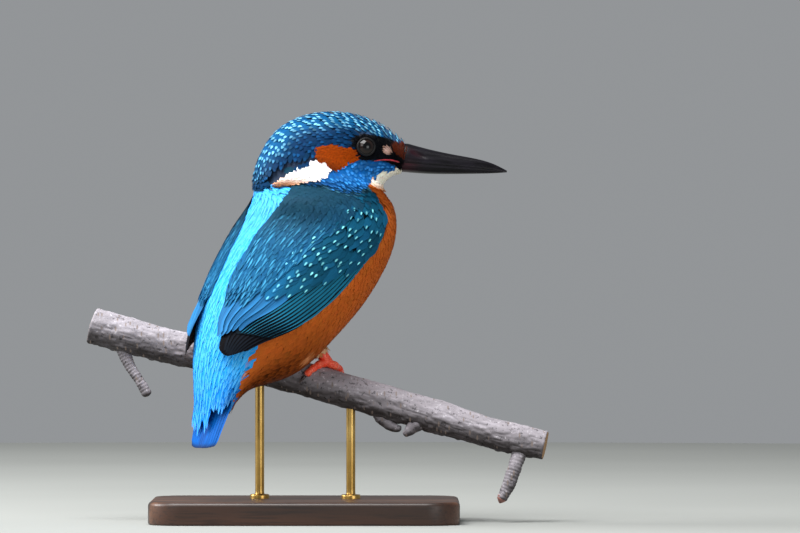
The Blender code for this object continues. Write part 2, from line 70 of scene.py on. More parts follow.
def main_output(source):
    """A node's first output, or a Mix node's colour. An output itself stays as it is."""
    if isinstance(source, bpy.types.NodeSocket):
        return source
    return source.outputs[2 if source.bl_idname == "ShaderNodeMix" else 0]


def add(tree, kind, inputs=None, stops=None, **settings):
    """Adds a shader node with its settings. Each input is another node, one of its other
    outputs, a hex colour or a plain value, and stops are a colour ramp's places and colours."""
    node = tree.nodes.new("ShaderNode" + kind)
    for name, value in settings.items():
        setattr(node, name, value)
    for socket, value in (inputs or {}).items():
        if isinstance(value, (bpy.types.Node, bpy.types.NodeSocket)):
            tree.links.new(main_output(value), node.inputs[socket])
        elif isinstance(value, str):
            node.inputs[socket].default_value = (*linear(value), 1)
        else:
            node.inputs[socket].default_value = value
    for i, (place, colour) in enumerate(stops or ()):
        ramp = node.color_ramp.elements
        stop = ramp[i] if i < 2 else ramp.new(place)
        stop.position = place
        stop.color = (*linear(colour), 1)
    return node


def start_material(name, **shader_values):
    """A material with its Principled shader; the values are set on the shader's sockets."""
    made = bpy.data.materials.new(name)
    made.use_nodes = True
    shader = made.node_tree.nodes["Principled BSDF"]
    for socket, value in shader_values.items():
        shader.inputs[socket.replace("_", " ")].default_value = value
    return made, made.node_tree, shader


def wire(shader, **sources):
    """Links nodes to the shader's sockets of those names."""
    for socket, source in sources.items():
        shader.id_data.links.new(main_output(source), shader.inputs[socket.replace("_", " ")])


MIX = {"data_type": "RGBA"}  # settings of a Mix node for colours,
TIMES = {"data_type": "RGBA", "blend_type": "MULTIPLY"}  # and of one that multiplies them


def per_mm(size):
    """A texture's scale for a feature of that size in millimetres: its inverse in metres."""
    return 1000.0 / size


def put_mesh(name, points, faces, finish, values=None, bake=None, sharp=None):
    """A mesh object from points in millimetres and arrays of three or four cornered faces.
    All faces are turned over if the volume they close, the sum of each corner fan's triple
    products, is negative. Values are attributes of the points, and bake is their UV."""
    points = np.asarray(points, float).reshape(-1, 3)
    faces = [np.asarray(group) for group in faces]
    middle = points.mean(0)
    volume = 0.0
    for group in faces:
        a, b, c = (points[group[:, k]] - middle for k in (0, 1, 2))
        volume += np.einsum("ij,ij->", a, np.cross(b, c))
        if group.shape[1] == 4:
            volume += np.einsum("ij,ij->", a, np.cross(c, points[group[:, 3]] - middle))
    if volume < 0:
        faces = [group[:, ::-1] for group in faces]
    corners = np.concatenate([group.ravel() for group in faces]).astype(np.int32)
    sizes = np.concatenate([np.full(len(group), group.shape[1]) for group in faces])
    mesh = bpy.data.meshes.new(name)
    mesh.vertices.add(len(points))
    mesh.vertices.foreach_set("co", (points * MM).astype(np.float32).ravel())
    mesh.loops.add(len(corners))
    mesh.loops.foreach_set("vertex_index", corners)
    mesh.polygons.add(len(sizes))
    mesh.polygons.foreach_set("loop_start", (np.cumsum(sizes) - sizes).astype(np.int32))
    mesh.update(calc_edges=True)
    mesh.shade_smooth()
    if sharp:
        mesh.set_sharp_from_angle(angle=np.radians(sharp))
    kinds = {1: ("FLOAT", "value"), 3: ("FLOAT_VECTOR", "vector"), 4: ("FLOAT_COLOR", "color")}
    for label, value in (values or {}).items():
        value = np.asarray(value, np.float32).reshape(len(points), -1)
        kind, field = kinds[value.shape[1]]
        mesh.attributes.new(label, kind, "POINT").data.foreach_set(field, value.ravel())
    if bake is not None:
        layer = mesh.uv_layers.new(name="OFBake")
        layer.data.foreach_set("uv", np.asarray(bake, np.float32).reshape(-1, 2)[corners].ravel())
    mesh.materials.append(finish)
    made = bpy.data.objects.new(name, mesh)
    bpy.context.scene.collection.objects.link(made)
    return made


def loft_faces(rows, around):
    """Faces of a closed skin over rows of points that each run around a body, in rows of
    that count, with one more point at each end to close it."""
    i, j = np.meshgrid(np.arange(rows - 1), np.arange(around), indexing="ij")
    k = (j + 1) % around
    low, high = i * around, (i + 1) * around
    sides = np.stack([low + j, low + k, high + k, high + j], -1).reshape(-1, 4)
    j = np.arange(around)
    k = (j + 1) % around
    first, last, end = rows * around, rows * around + 1, (rows - 1) * around
    caps = np.concatenate(
        [np.stack([first + 0 * j, k, j], -1), np.stack([last + 0 * j, end + j, end + k], -1)]
    )
    return [sides, caps]


def with_ends(rings):
    """The rings' points or values as a list, then the first ring's mean and the last one's."""
    rings = np.asarray(rings, float)
    ends = rings[:1].mean(1), rings[-1:].mean(1)
    return np.concatenate([rings.reshape(-1, *rings.shape[2:]), *ends])


def put_loft(name, rings, finish, values=None, sharp=None):
    """A mesh object that is a closed skin over rings of points, with values on the rings."""
    faces = loft_faces(*np.shape(rings)[:2])
    values = {label: with_ends(value) for label, value in (values or {}).items()}
    return put_mesh(name, with_ends(rings), faces, finish, values, sharp=sharp)


def board_rings(low, high):
    """Rounded rectangles up the board: each is a circle's four quarters about the corners'
    centres, its radius less by the easing, which is a quarter circle at the top edge."""
    turn = np.radians(np.linspace(0, 360, 96, endpoint=False) + 1.9)
    ease = np.radians(np.linspace(0, 90, 7))
    levels = [(low[2] + up, inset) for up, inset in BOARD_FOOT]
    levels += [
        (high[2] - BOARD_EASE * (1 - np.sin(a)), BOARD_EASE * (1 - np.cos(a))) for a in ease
    ]
    levels += [(high[2], BOARD_EASE + 1.0), (high[2], BOARD_CORNER - 1.0)]
    half = (high[:2] - low[:2]) / 2 - BOARD_CORNER
    rings = []
    for z, inset in levels:
        radius = BOARD_CORNER - inset
        x = np.sign(np.cos(turn)) * half[0] + radius * np.cos(turn)
        y = np.sign(np.sin(turn)) * half[1] + radius * np.sin(turn)
        rings.append(np.stack([x, y, np.full_like(x, z)], -1))
    return rings


def walnut():
    """Stained walnut, planed and oiled: dark cathedral grain along the board, with fine open
    pores that break up a soft shine."""
    made, tree, shader = start_material("oiled walnut", IOR=1.5)
    place = add(tree, "TexCoord").outputs["Object"]
    along = add(tree, "Mapping", {"Vector": place, "Scale": (0.12, 1, 1)})
    wide = {"Vector": along, "Scale": per_mm(GROWTH_RING * 3), "Detail": 3.0}
    drift = add(tree, "TexNoise", wide).outputs["Color"]
    bent = add(tree, "VectorMath", {0: drift, 1: (0.02,) * 3}, operation="MULTIPLY")
    shifted = add(tree, "VectorMath", {0: along, 1: bent}, operation="ADD")
    wave = {"Vector": shifted, "Scale": per_mm(GROWTH_RING) / WAVE_TURN}
    wave.update({"Distortion": 2.5, "Detail": 3.0})
    rings = add(tree, "TexWave", wave, bands_direction="Y", wave_profile="SAW")
    stops = ((0.0, WALNUT_DARK), (0.45, WALNUT_MID), (0.8, WALNUT_LIGHT), (1.0, WALNUT_DARK))
    grain = add(tree, "ValToRGB", {"Fac": rings.outputs["Fac"]}, stops)
    fibre = add(tree, "Mapping", {"Vector": place, "Scale": (0.05, 1, 1)})
    pores = add(tree, "TexNoise", {"Vector": fibre, "Scale": per_mm(PORE * 2), "Detail": 2.0})
    deep = add(tree, "MapRange", {0: pores, 1: 0.35, 2: 0.5, 3: 0.55, 4: 1.0})
    colour = add(tree, "Mix", {0: 1.0, 6: grain, 7: deep}, **TIMES)
    rough = add(tree, "MapRange", {0: pores, 3: 0.5, 4: 0.34})
    bump = add(tree, "Bump", {"Height": deep, "Strength": 0.25, "Distance": 0.0001})
    wire(shader, Base_Color=colour, Roughness=rough, Normal=bump)
    return made


board_low, board_high = (np.array(corner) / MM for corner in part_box("stand_base"))
board = put_loft("board", board_rings(board_low, board_high), walnut(), sharp=50)
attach(board, "root")
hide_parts("stand_base")


# ---------------------------------------------------------------- rods
# Two turned brass rods stand in holes in the board and go up into the branch's underside.
# Each has a small collar where it meets the board, and was finished with fine emery.
COLLAR_RADIUS, COLLAR_HEIGHT, COLLAR_ROUND = 3.4, 1.5, 0.5
BRASS_LIGHT, BRASS_DARK = "#d3b06a", "#a98443"
EMERY = 0.25  # coarser than the real scratches, so that they show


def full_turn(count):
    """Angles around a circle, evenly spaced, in radians."""
    return np.linspace(0, 2 * np.pi, count, endpoint=False)


def turned(x, y, profile, around=48):
    """Rings of a body of revolution about an upright axis, one for each (radius, z)."""
    turn = full_turn(around)
    profile = np.asarray(profile, float)
    radius, z = profile[:, :1], profile[:, 1:]
    return np.stack([x + radius * np.cos(turn), y + radius * np.sin(turn), z + 0 * turn], -1)


def brass():
    """Satin brass, turned and rubbed around with emery: a soft warm gleam with fine rings
    of scratches that spread it."""
    made, tree, shader = start_material("satin brass", Metallic=1.0)
    place = add(tree, "TexCoord").outputs["Object"]
    flat = add(tree, "Mapping", {"Vector": place, "Scale": (0.1, 0.1, 1)})
    rubbed = add(tree, "TexNoise", {"Vector": flat, "Scale": per_mm(EMERY), "Detail": 2.0})
    hue = add(tree, "TexNoise", {"Vector": place, "Scale": per_mm(12), "Detail": 3.0})
    stops = ((0.3, BRASS_DARK), (0.7, BRASS_LIGHT))
    colour = add(tree, "ValToRGB", {"Fac": hue}, stops)
    rough = add(tree, "MapRange", {0: rubbed, 3: 0.22, 4: 0.4})
    bump = add(tree, "Bump", {"Height": rubbed, "Strength": 0.15, "Distance": 0.00005})
    wire(shader, Base_Color=colour, Roughness=rough, Normal=bump)
    return made


brass_finish = brass()
for side in ("left", "right"):
    low, high = (np.array(corner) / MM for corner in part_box(f"stand_rod_{side}"))
    x, y = (low[:2] + high[:2]) / 2
    radius = (high[0] - low[0]) / 2
    floor, collar = board_high[2], board_high[2] + COLLAR_HEIGHT
    profile = [(radius, low[2]), (radius, floor - 0.2), (COLLAR_RADIUS, floor - 0.2)]
    profile += [
        (
            COLLAR_RADIUS - COLLAR_ROUND * (1 - np.cos(a)),
            collar - COLLAR_ROUND * (1 - np.sin(a)),
        )
        for a in np.radians((0, 30, 60, 90))
    ]
    profile += [(radius + 0.4, collar), (radius + 0.1, collar + 0.12), (radius, collar + 0.5)]
    profile += [(radius, z) for z in np.linspace(collar + 2, high[2], 8)]
    rod = put_loft(f"rod_{side}", turned(x, y, profile), brass_finish, sharp=40)
    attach(rod, "root")
    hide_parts(f"stand_rod_{side}")


# ---------------------------------------------------------------- branch
# The perch is a dead branch, sawn to length at both ends. Its grey-brown bark is smooth,
# with fine cracks, corky pores and lichen, and lumps on its underside.
BRANCH_X = (-75.0, -54.3, -40.3, 5.3, 33.3, 50.8, 68.3, 84.0)
BRANCH_Z = (68.6, 62.9, 59.9, 48.4, 40.5, 35.4, 30.4, 26.9)
BRANCH_RADIUS = (6.5, 6.2, 6.1, 6.1, 5.9, 5.6, 5.4, 5.3)
BRANCH_Y_AT_FEET, BRANCH_DRIFT = 4.0, -0.12
LEAF_SCARS = ((-62.0, 4.0, 0.25), (44.0, 6.0, 0.45))  # place, width and height of swellings
BARK_ROWS, BARK_AROUND = 380, 110
# Sizes of bark relief: length along the branch, width, height, and the noise's seed.
BARK_RELIEF = ((7.0, 3.0, 0.28, 1), (2.4, 1.1, 0.14, 2), (0.9, 0.7, 0.07, 3))
CUT_SHARES = (0.02, 0.25, 0.5, 0.72, 0.88, 0.945)  # of the radius, for the sawn ends' rings
CUT_RINGS = 44.0  # radians of growth rings from the pith to the bark
UNDERSIDE_LUMP, UNDERSIDE_HEIGHT = 1.9, 0.5
CRACK_APART, CRACK_DEPTH, CRACK_SHARP, CRACK_STRETCH = 1.5, 0.16, 0.07, 0.22
BARK_SUNK, RIM_SHARE, RIM_IN = 0.12, 0.975, 0.05  # to keep its lumps inside the CAD's perch
BARK_PALE, BARK_MID, BARK_DARK = "#b3adb5", "#686264", "#221d1c"
LICHEN, CORK_PORE, CUT_WOOD, CUT_RING = "#d6d2d8", "#7a6c64", "#b08a60", "#7d5c3c"


def spline(knots, values, at):
    """The natural cubic spline through values at the knots: on each span, a cubic whose
    second slopes join at the knots and are nil at both ends."""
    knots = np.asarray(knots, float)
    values = np.asarray(values, float).reshape(len(knots), -1)
    at = np.asarray(at, float)
    width = np.diff(knots)
    matrix = np.eye(len(knots))
    right = np.zeros_like(values)
    slope = np.diff(values, axis=0) / width[:, None]
    for i in range(1, len(knots) - 1):
        matrix[i, i - 1 : i + 2] = width[i - 1], 2 * (width[i - 1] + width[i]), width[i]
        right[i] = 6 * (slope[i] - slope[i - 1])
    bend = np.linalg.solve(matrix, right)
    i = np.clip(np.searchsorted(knots, at, side="right") - 1, 0, len(knots) - 2)
    after, before = (at - knots[i])[..., None], (knots[i + 1] - at)[..., None]
    span = width[i][..., None]
    return (
        (bend[i] * before**3 + bend[i + 1] * after**3) / (6 * span)
        + (values[i] / span - bend[i] * span / 6) * before
        + (values[i + 1] / span - bend[i + 1] * span / 6) * after
    )


def smooth(low, high, x):
    """0 below low, 1 above high, and the S curve t * t * (3 - 2 t) between them."""
    t = np.clip((np.asarray(x, float) - low) / (high - low), 0, 1)
    return t * t * (3 - 2 * t)


def lumps(points, size, seed):
    """Soft noise from -1 to 1: random values on a lattice with cells of that size in
    millimetres, joined by S-curve weights along the three axes."""
    table = np.random.default_rng(seed).uniform(-1, 1, (64, 64, 64))
    cell = np.asarray(points) / size
    low = np.floor(cell).astype(int)
    share = cell - low
    share = share * share * (3 - 2 * share)
    total = 0.0
    for corner in itertools.product((0, 1), repeat=3):
        corner = np.array(corner)
        weight = np.prod(np.where(corner == 1, share, 1 - share), axis=-1)
        i, j, k = np.moveaxis((low + corner) % 64, -1, 0)
        total = total + weight * table[i, j, k]
    return total


def unit(vectors):
    """Vectors over their own lengths."""
    return vectors / np.maximum(np.linalg.norm(vectors, axis=-1, keepdims=True), 1e-9)


def branch_line(x):
    """The branch's centre, its directions along, up and to the far side, and its radius."""
    x = np.asarray(x, float)
    y = BRANCH_Y_AT_FEET + BRANCH_DRIFT * (x - BRANCH_X[3])
    centre = np.stack([x, y, spline(BRANCH_X, BRANCH_Z, x)[..., 0]], -1)
    rise = (spline(BRANCH_X, BRANCH_Z, x + 0.5) - spline(BRANCH_X, BRANCH_Z, x - 0.5))[..., 0]
    along = unit(np.stack([np.ones_like(x), np.full_like(x, BRANCH_DRIFT), rise], -1))
    up = unit(np.array([0.0, 0.0, 1.0]) - along[..., 2:] * along)
    return centre, along, up, np.cross(up, along), spline(BRANCH_X, BRANCH_RADIUS, x)[..., 0]


def bark_rings():
    """Circles square to the branch's line. The radius has its leaf-scar swellings and three
    sizes of soft noise, stretched along the grain, with cracks where a fourth noise is near
    nil, and lumps below. The sawn rims are eased, and rings that shrink to the pith close
    the ends."""
    turn = np.radians(np.linspace(0, 360, BARK_AROUND, endpoint=False))
    x = np.linspace(BRANCH_X[0], BRANCH_X[-1], BARK_ROWS)
    centre, along, up, far, radius = branch_line(x)
    high, wide = np.cos(turn), np.sin(turn)
    out = high[None, :, None] * up[:, None] + wide[None, :, None] * far[:, None]
    base = [x[:, None] + 0 * turn, radius[:, None] * high, radius[:, None] * wide]
    base = np.stack(base, -1)
    radius = radius + sum(h * np.exp(-(((x - p) / w) ** 2)) for p, w, h in LEAF_SCARS)
    radius = radius[:, None] - BARK_SUNK
    for length, width, height, seed in BARK_RELIEF:
        radius = radius + height * lumps(base * (width / length, 1, 1), width, seed)
    crack = np.abs(lumps(base * (CRACK_STRETCH, 1, 1), CRACK_APART, 5))
    radius = radius - CRACK_DEPTH * np.exp(-((crack / CRACK_SHARP) ** 2))
    below = smooth(-0.1, -0.8, high)
    radius = radius + UNDERSIDE_HEIGHT * below * lumps(base, UNDERSIDE_LUMP, 6).clip(0.1, 0.7)
    rings = centre[:, None] + radius[..., None] * out
    ends = []
    for end in (0, -1):
        shares = np.array(CUT_SHARES)[:, None, None]
        face = centre[end] + (rings[end] - centre[end]) * shares
        ends.append(face if end == 0 else face[::-1])
        inward = along[end] if end == 0 else -along[end]
        rings[end] = centre[end] + (rings[end] - centre[end]) * RIM_SHARE + RIM_IN * inward
    rings = np.concatenate([ends[0], rings, ends[1]])
    cut = np.zeros(rings.shape[:2])
    count = len(CUT_SHARES)
    cut[:count] = cut[-count:] = 1.0
    ring_share = np.ones(rings.shape[:2])
    ring_share[:count] = shares[:, 0]
    ring_share[-count:] = shares[::-1, 0]
    return rings, np.stack([cut, ring_share, 0 * cut], -1)


def bark():
    """Bark of a dead twig, weathered: dry and matt, with dark cracks, corky pores across the grain
    and flecks of crusty lichen. Its colour carries painted light, paler on faces turned up, and
    painted shade, darker on faces turned down. A sawn end shows pale wood with growth rings."""
    made, tree, shader = start_material("weathered bark", Specular_IOR_Level=0.3)
    place = add(tree, "TexCoord").outputs["Object"]
    along = add(tree, "Mapping", {"Vector": place, "Rotation": (0, 0.25, 0), "Scale": (0.3, 1, 1)})
    fibres = {"Vector": along, "Scale": per_mm(4.5), "Detail": 6.0, "Roughness": 0.62}
    patches = add(tree, "TexNoise", fibres)
    stops = ((0.30, BARK_DARK), (0.50, BARK_MID), (0.72, BARK_PALE))
    base = add(tree, "ValToRGB", {"Fac": patches}, stops)
    facing = add(tree, "SeparateXYZ", {0: add(tree, "NewGeometry").outputs["Normal"]})
    upward = {0: facing.outputs["Z"], 1: -0.75, 2: 0.8, 3: 0.0, 4: 1.0}
    top = add(tree, "MapRange", upward, interpolation_type="SMOOTHSTEP")
    # Painted light and shade: faces turned down are mixed far towards the darkest bark colour, and
    # faces turned up towards the palest.
    under = add(tree, "Mix", {0: 0.8, 6: base, 7: BARK_DARK}, **MIX)
    painted_light_top = add(tree, "Mix", {0: 0.55, 6: base, 7: BARK_PALE}, **MIX)
    painted_light_and_shade = add(tree, "Mix", {0: top, 6: under, 7: painted_light_top}, **MIX)
    tilted = {"Vector": place, "Rotation": (0, 0.25, 0), "Scale": (2.6, 0.8, 0.8)}
    across = add(tree, "Mapping", tilted)
    pore = add(tree, "TexVoronoi", {"Vector": across, "Scale": per_mm(4.2)}, feature="F1")
    pored = add(tree, "MapRange", {0: pore, 1: 0.16, 2: 0.24, 3: 0.75, 4: 0.0})
    corky = add(tree, "Mix", {0: pored, 6: painted_light_and_shade, 7: CORK_PORE}, **MIX)
    flecks = {"Vector": place, "Scale": per_mm(1.6), "Detail": 4.0, "Roughness": 0.7}
    fleck = add(tree, "TexNoise", flecks)
    crust = add(tree, "MapRange", {0: fleck, 1: 0.60, 2: 0.68, 3: 0.0, 4: 0.8})
    crusted = add(tree, "Math", {0: crust, 1: top}, operation="MULTIPLY")
    flecked = add(tree, "Mix", {0: crusted, 6: corky, 7: LICHEN}, **MIX)
    speck = add(tree, "MapRange", {0: fleck, 1: 0.36, 2: 0.42, 3: 0.35, 4: 1.0})
    specked = add(tree, "Mix", {0: 1.0, 6: flecked, 7: speck}, **TIMES)
    sawn = add(tree, "Attribute", attribute_name="sawn")
    end = add(tree, "SeparateXYZ", {0: sawn.outputs["Vector"]})
    ringed = add(tree, "Math", {0: end.outputs["Y"], 1: CUT_RINGS}, operation="MULTIPLY")
    wave = add(tree, "Math", {0: ringed}, operation="SINE")
    late = add(tree, "MapRange", {0: wave, 1: -1.0, 2: 1.0, 3: 0.1, 4: 0.8})
    wood = add(tree, "Mix", {0: late, 6: CUT_WOOD, 7: CUT_RING}, **MIX)
    colour = add(tree, "Mix", {0: end.outputs["X"], 6: specked, 7: wood}, **MIX)
    bump = add(tree, "Bump", {"Height": fleck, "Strength": 0.6, "Distance": 0.0004})
    rough = add(tree, "MapRange", {0: fleck, 3: 0.72, 4: 0.95})
    wire(shader, Base_Color=colour, Roughness=rough, Normal=bump)
    return made


bark_finish = bark()
rings, sawn = bark_rings()
branch = put_loft("branch", rings, bark_finish, {"sawn": sawn})
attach(branch, "root")
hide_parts("perch")


# ---------------------------------------------------------------- side shoots
# Two short dead shoots hang from the branch, ringed where each year's growth stopped, and
# two stubs have healed to rough scars. The right shoot ends in a bud.
SHOOTS = {
    "shoot_left": (
        ((-64.5, 0.5, 61.5), (-61.8, -1.5, 54.6), (-58.6, -3.0, 49.6), (-55.6, -3.6, 44.6)),
        (2.7, 1.9, 1.7, 1.75),
    ),
    "shoot_right": (
        ((75.6, 0.5, 27.0), (73.6, -2.6, 20.0), (71.2, -3.8, 13.4), (68.8, -4.2, 8.6)),
        (2.9, 2.35, 2.25, 1.7),
    ),
    "scar_low": (((26.0, 0.0, 38.0), (29.5, -1.0, 34.0), (33.0, -1.8, 32.4)), (2.6, 2.0, 1.3)),
    "scar_high": (((40.5, -0.6, 36.5), (37.6, -2.0, 33.0), (35.2, -2.4, 30.6)), (3.2, 2.6, 1.2)),
}
YEAR_RING, YEAR_HEIGHT, SHOOT_RELIEF = 1.15, 0.24, 0.4
BUD_DARK, BUD_RED = "#5d4038", "#9a6a60"
BAR_END = ((0.35, 0.5), (0.8, 0.3))  # radius and height of the rings at a bar's end, as shares


def bar(path, radii, around):
    """Rings of a round bar: circles about a path, each square to it, the first direction
    across carried along so that they don't twist, and a rounded end at each side."""
    path, radii = np.asarray(path, float), np.asarray(radii, float)
    ahead = unit(np.gradient(path, axis=0))
    across = np.cross(ahead[0], (0.31, 0.85, 0.42))
    turn = full_turn(around)[:, None]
    rings = []
    for point, direction, radius in zip(path, ahead, radii):
        across = unit(across - (across @ direction) * direction)
        circle = np.cos(turn) * across + np.sin(turn) * np.cross(direction, across)
        rings.append(point + radius * circle)
    first, last = rings[0] - path[0], rings[-1] - path[-1]
    start = [path[0] + first * c - ahead[0] * radii[0] * s for c, s in BAR_END]
    end = [path[-1] + last * c + ahead[-1] * radii[-1] * s for c, s in BAR_END[::-1]]
    return np.array([*start, *rings, *end])


def path_lengths(path):
    """How far along a path each of its points lies, from 0 at its start."""
    return np.concatenate([[0], np.cumsum(np.linalg.norm(np.diff(path, axis=0), axis=1))])


def resample(path, values, count):
    """A path and its values at evenly spaced places along its length, by cubic spline."""
    length = path_lengths(path)
    places = np.linspace(0, length[-1], count)
    return spline(length, path, places), spline(length, values, places)[:, 0], places


for name, (path, radii) in SHOOTS.items():
    path = np.array(path) + [0, branch_line(path[0][0])[0][1], 0]
    scar = name.startswith("scar")
    path, radii, places = resample(path, radii, 60)
    years = 0 if scar else np.abs(np.sin(np.pi * places / YEAR_RING)) ** 0.6 - 0.6
    rings = bar(path, radii + YEAR_HEIGHT * years, 40)
    out = unit(rings - rings.mean(1, keepdims=True))
    rough = SHOOT_RELIEF * (1.5 if scar else 1) * lumps(rings, 1.3, 11) * (0.35 if scar else 0.4)
    rough = rough + SHOOT_RELIEF * lumps(rings, 2.6, 12) * (0.9 if scar else 0.35)
    rings = rings + rough[..., None] * out
    shoot = put_loft(name, rings, bark_finish, {"sawn": np.zeros(rings.shape)})
    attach(shoot, "root")

# Bud scales: dry, reddish brown and half matt, with darker clouds.
bud_finish, tree, bud_shader = start_material("bud scales", Roughness=0.6)
place = add(tree, "TexCoord").outputs["Object"]
cloudy = add(tree, "TexNoise", {"Vector": place, "Scale": per_mm(1.0), "Detail": 3.0})
bud_colour = add(tree, "ValToRGB", {"Fac": cloudy}, ((0.35, BUD_DARK), (0.65, BUD_RED)))
wire(bud_shader, Base_Color=bud_colour)
path = np.array(SHOOTS["shoot_right"][0])
back, tip = path[-2:] + [0, branch_line(path[0][0])[0][1], 0]
ahead = unit(tip - back)
steps = np.linspace(0, 1, 26)
swell = np.sin(np.pi * (0.16 + 0.8 * steps)) ** 0.8 * 1.75
swell = swell * (1 + 0.09 * np.sign(np.sin(steps * 22)) * (1 - steps))
rings = bar(tip - ahead * 1.6 + np.outer(steps * 3.4, ahead), swell, 32)
bud = put_loft("shoot_bud", rings, bud_finish)
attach(bud, "root")


# ---------------------------------------------------------------- skin
# Under the feathers lies one skin, from the root of the bill to the root of the tail and
# down both legs to the toes. The lids around the eyes are part of it.
BODY_HEADING, HEAD_HEADING = 38.0, 2.0
BODY_ORIGIN, HEAD_ORIGIN = np.array([-2.0, 0.0]), np.array([4.0, 4.0])
# Sections from the tail coverts to the root of the bill: how far along the spine, the
# back's and the belly's place in the plane of symmetry (forward, up), the half width, and
# how the section faces. The first nine lie in the trunk's plane, the others in the head's.
SECTIONS = (
    (0.0, (-41.6, 41.0), (-31.8, 42.0), 9.8, BODY_HEADING),  # coverts
    (8.4, (-41.4, 50.0), (-26.4, 45.8), 12.4, BODY_HEADING),  # vent
    (17.6, (-40.8, 60.0), (-17.5, 48.0), 16.0, BODY_HEADING),  # rump
    (27.8, (-38.8, 69.5), (-6.0, 51.8), 20.5, BODY_HEADING),  # thigh
    (40.7, (-35.6, 79.5), (6.5, 61.5), 24.5, BODY_HEADING),  # belly
    (55.0, (-30.6, 89.0), (19.5, 74.0), 27.0, BODY_HEADING),  # flank
    (68.5, (-24.8, 98.0), (29.5, 87.0), 27.6, BODY_HEADING),  # breast
    (80.6, (-19.0, 106.5), (35.5, 99.5), 26.0, BODY_HEADING),  # mantle
    (89.8, (-16.5, 113.5), (38.3, 109.3), 22.8, 30.0),  # neck base
    (101.8, (-21.4, 121.5), (22.8, 116.2), 17.0, 17.0),  # neck
    (107.3, (-19.4, 129.5), (23.6, 118.6), 14.4, 8.0),  # nape
    (113.5, (-13.2, 138.0), (25.2, 120.2), 13.2, HEAD_HEADING),  # occiput
    (121.2, (-0.5, 143.4), (26.4, 121.1), 12.6, HEAD_HEADING),  # crown
    (128.4, (12.6, 143.2), (27.8, 121.6), 11.0, HEAD_HEADING),  # brow
    (135.0, (23.8, 139.0), (29.0, 121.9), 8.4, HEAD_HEADING),  # forehead
    (141.0, (32.6, 132.0), (30.0, 122.2), 4.9, HEAD_HEADING),  # bill root
)
TRUNK_SECTIONS = 9
SECTION_POWER = 0.93  # 1 is an ellipse, less is fuller
TAIL_END = ((-42.9, 26.4), (-41.9, 26.0), 9.2)  # back, belly and half width at the tail's tip
TAIL_LENGTH = 16.3
COAT_DEPTH_BODY, COAT_DEPTH_HEAD = 1.5, 0.75
EYE_ALONG, EYE_ANGLE, EYE_RADIUS, EYE_SUNK = 123.7, 96.5, 3.9, 2.35
LID_OPENING, LID_RADIUS = 47.5, 0.34  # half angle of the eyeball that shows, lid's thickness
# How deep the skin is drawn in around the eye, and between which distances from its middle,
# and how high its rim stands; the room left for the toes, off the branch and along it.
SOCKET_DEPTH, SOCKET_EDGE, RIM_RAISED = 2.3, (3.7, 2.7), 0.25
TOE_ROOM, FEET_FROM, FEET_TO, FEET_EASE = 2.7, -22.0, 20.0, 5.0
# Outlines of the markings on the right side: places (along the spine, angle from the back).
WHITE_PATCH = (
    (96.2, 21), (98.3, 29), (101, 43), (102.8, 54.5), (104.4, 65), (105.9, 73.5), (107.4, 82),
    (108, 88), (106.3, 92.5), (103.2, 89), (100.5, 77), (99.8, 66.5), (97.5, 49.5), (95, 30),
)
EAR_COVERTS = (
    (110.6, 76), (112.8, 76.5), (115.2, 84.2), (117, 90.2), (119, 96.2), (120.5, 106),
    (121.5, 112.8), (118, 113), (113, 109.5), (108.8, 104.2), (106.2, 97), (106, 92.5),
    (107.8, 88.5), (108, 80.8),
)
MALAR_STRIPE = (
    (134.2, 134.8), (127.8, 128.5), (121.2, 124.8), (117.5, 114.2), (113, 109.5), (108.8, 104.2),
    (106.2, 97), (105.2, 92.2), (102.8, 88.5), (100.5, 79.5), (98, 77.2), (94.8, 84.5), (92.5, 92),
    (98.5, 112.2), (103.5, 132.5), (106.5, 142.5), (114.5, 154.2), (128, 151.5),
)
THROAT = (
    (103.0, 126), (110.3, 145), (120.9, 149), (132.2, 142), (141.5, 140), (141.5, 181),
    (99.5, 181), (99.8, 150),
)
EYE_BLACK = (
    (117.6, 104), (119.4, 91.0), (122.8, 81.0), (127, 75.0), (130.5, 73.8), (134.8, 64.2),
    (141.5, 45), (141.5, 146), (135, 146), (134.2, 135.5), (127, 125.8), (121.8, 119.8),
    (119, 110.5),
)
LORE_RUFOUS = (
    (135, 82.2), (137, 60.2), (139, 35), (141.5, 35), (141.5, 92), (138.5, 98), (135, 95.8),
)
SHOULDER = (
    (60, 20), (60, 100), (79, 108), (85.5, 117.5), (91.9, 125), (97, 125), (101.1, 121),
    (105, 127), (106, 60), (100, 28), (95.1, 45), (81, 15),
)
# Round markings: the middle's place, and the size in millimetres.
LORE_SPOT, THIGH_DOWN = (131.8, 97.5, 1.8), (29.5, 130.0, 3.6)
BLACK_ROUND_EYE = 4.9  # from its middle
# Edges: the lower one of the dark band over the eye, the azure stripe's one, and the hind
# one of the head's plumage by the angle from the back.
BAND_EDGE = (
    (94, 10), (98.3, 32), (102.8, 56), (107.4, 76), (113, 78), (119, 90), (124, 92),
    (128, 105), (141, 110),
)
RUMP_EDGE = (
    (-20, 96), (0, 94), (8.5, 82), (17, 70), (27, 62), (36, 30), (48, 18), (66, 14),
    (81, 18), (95.1, 45.5), (100, 30),
)
NECK_EDGE = ((0, 30, 60, 90, 125, 180), (91.0, 96.0, 97.5, 98, 103, 200))
CROWN_DEEP, CROWN_SIDE, NAPE_DEEP = "#0a4c7a", "#04294c", "#082a46"
EAR_ORANGE, EAR_BROWN, WHITE, BUFF = "#8a3604", "#521e04", "#e9e6e6", "#c08e68"
MALAR_BLUE, MALAR_DARK = "#0e5498", "#072440"
LORE_BLACK, LORE_BROWN, LORE_PALE, THROAT_CREAM = "#0a0c10", "#64260e", "#caa89c", "#fff2e2"
LORE_BROWNISH, DOWN_PALE = "#7a5a4c", "#cc8654"
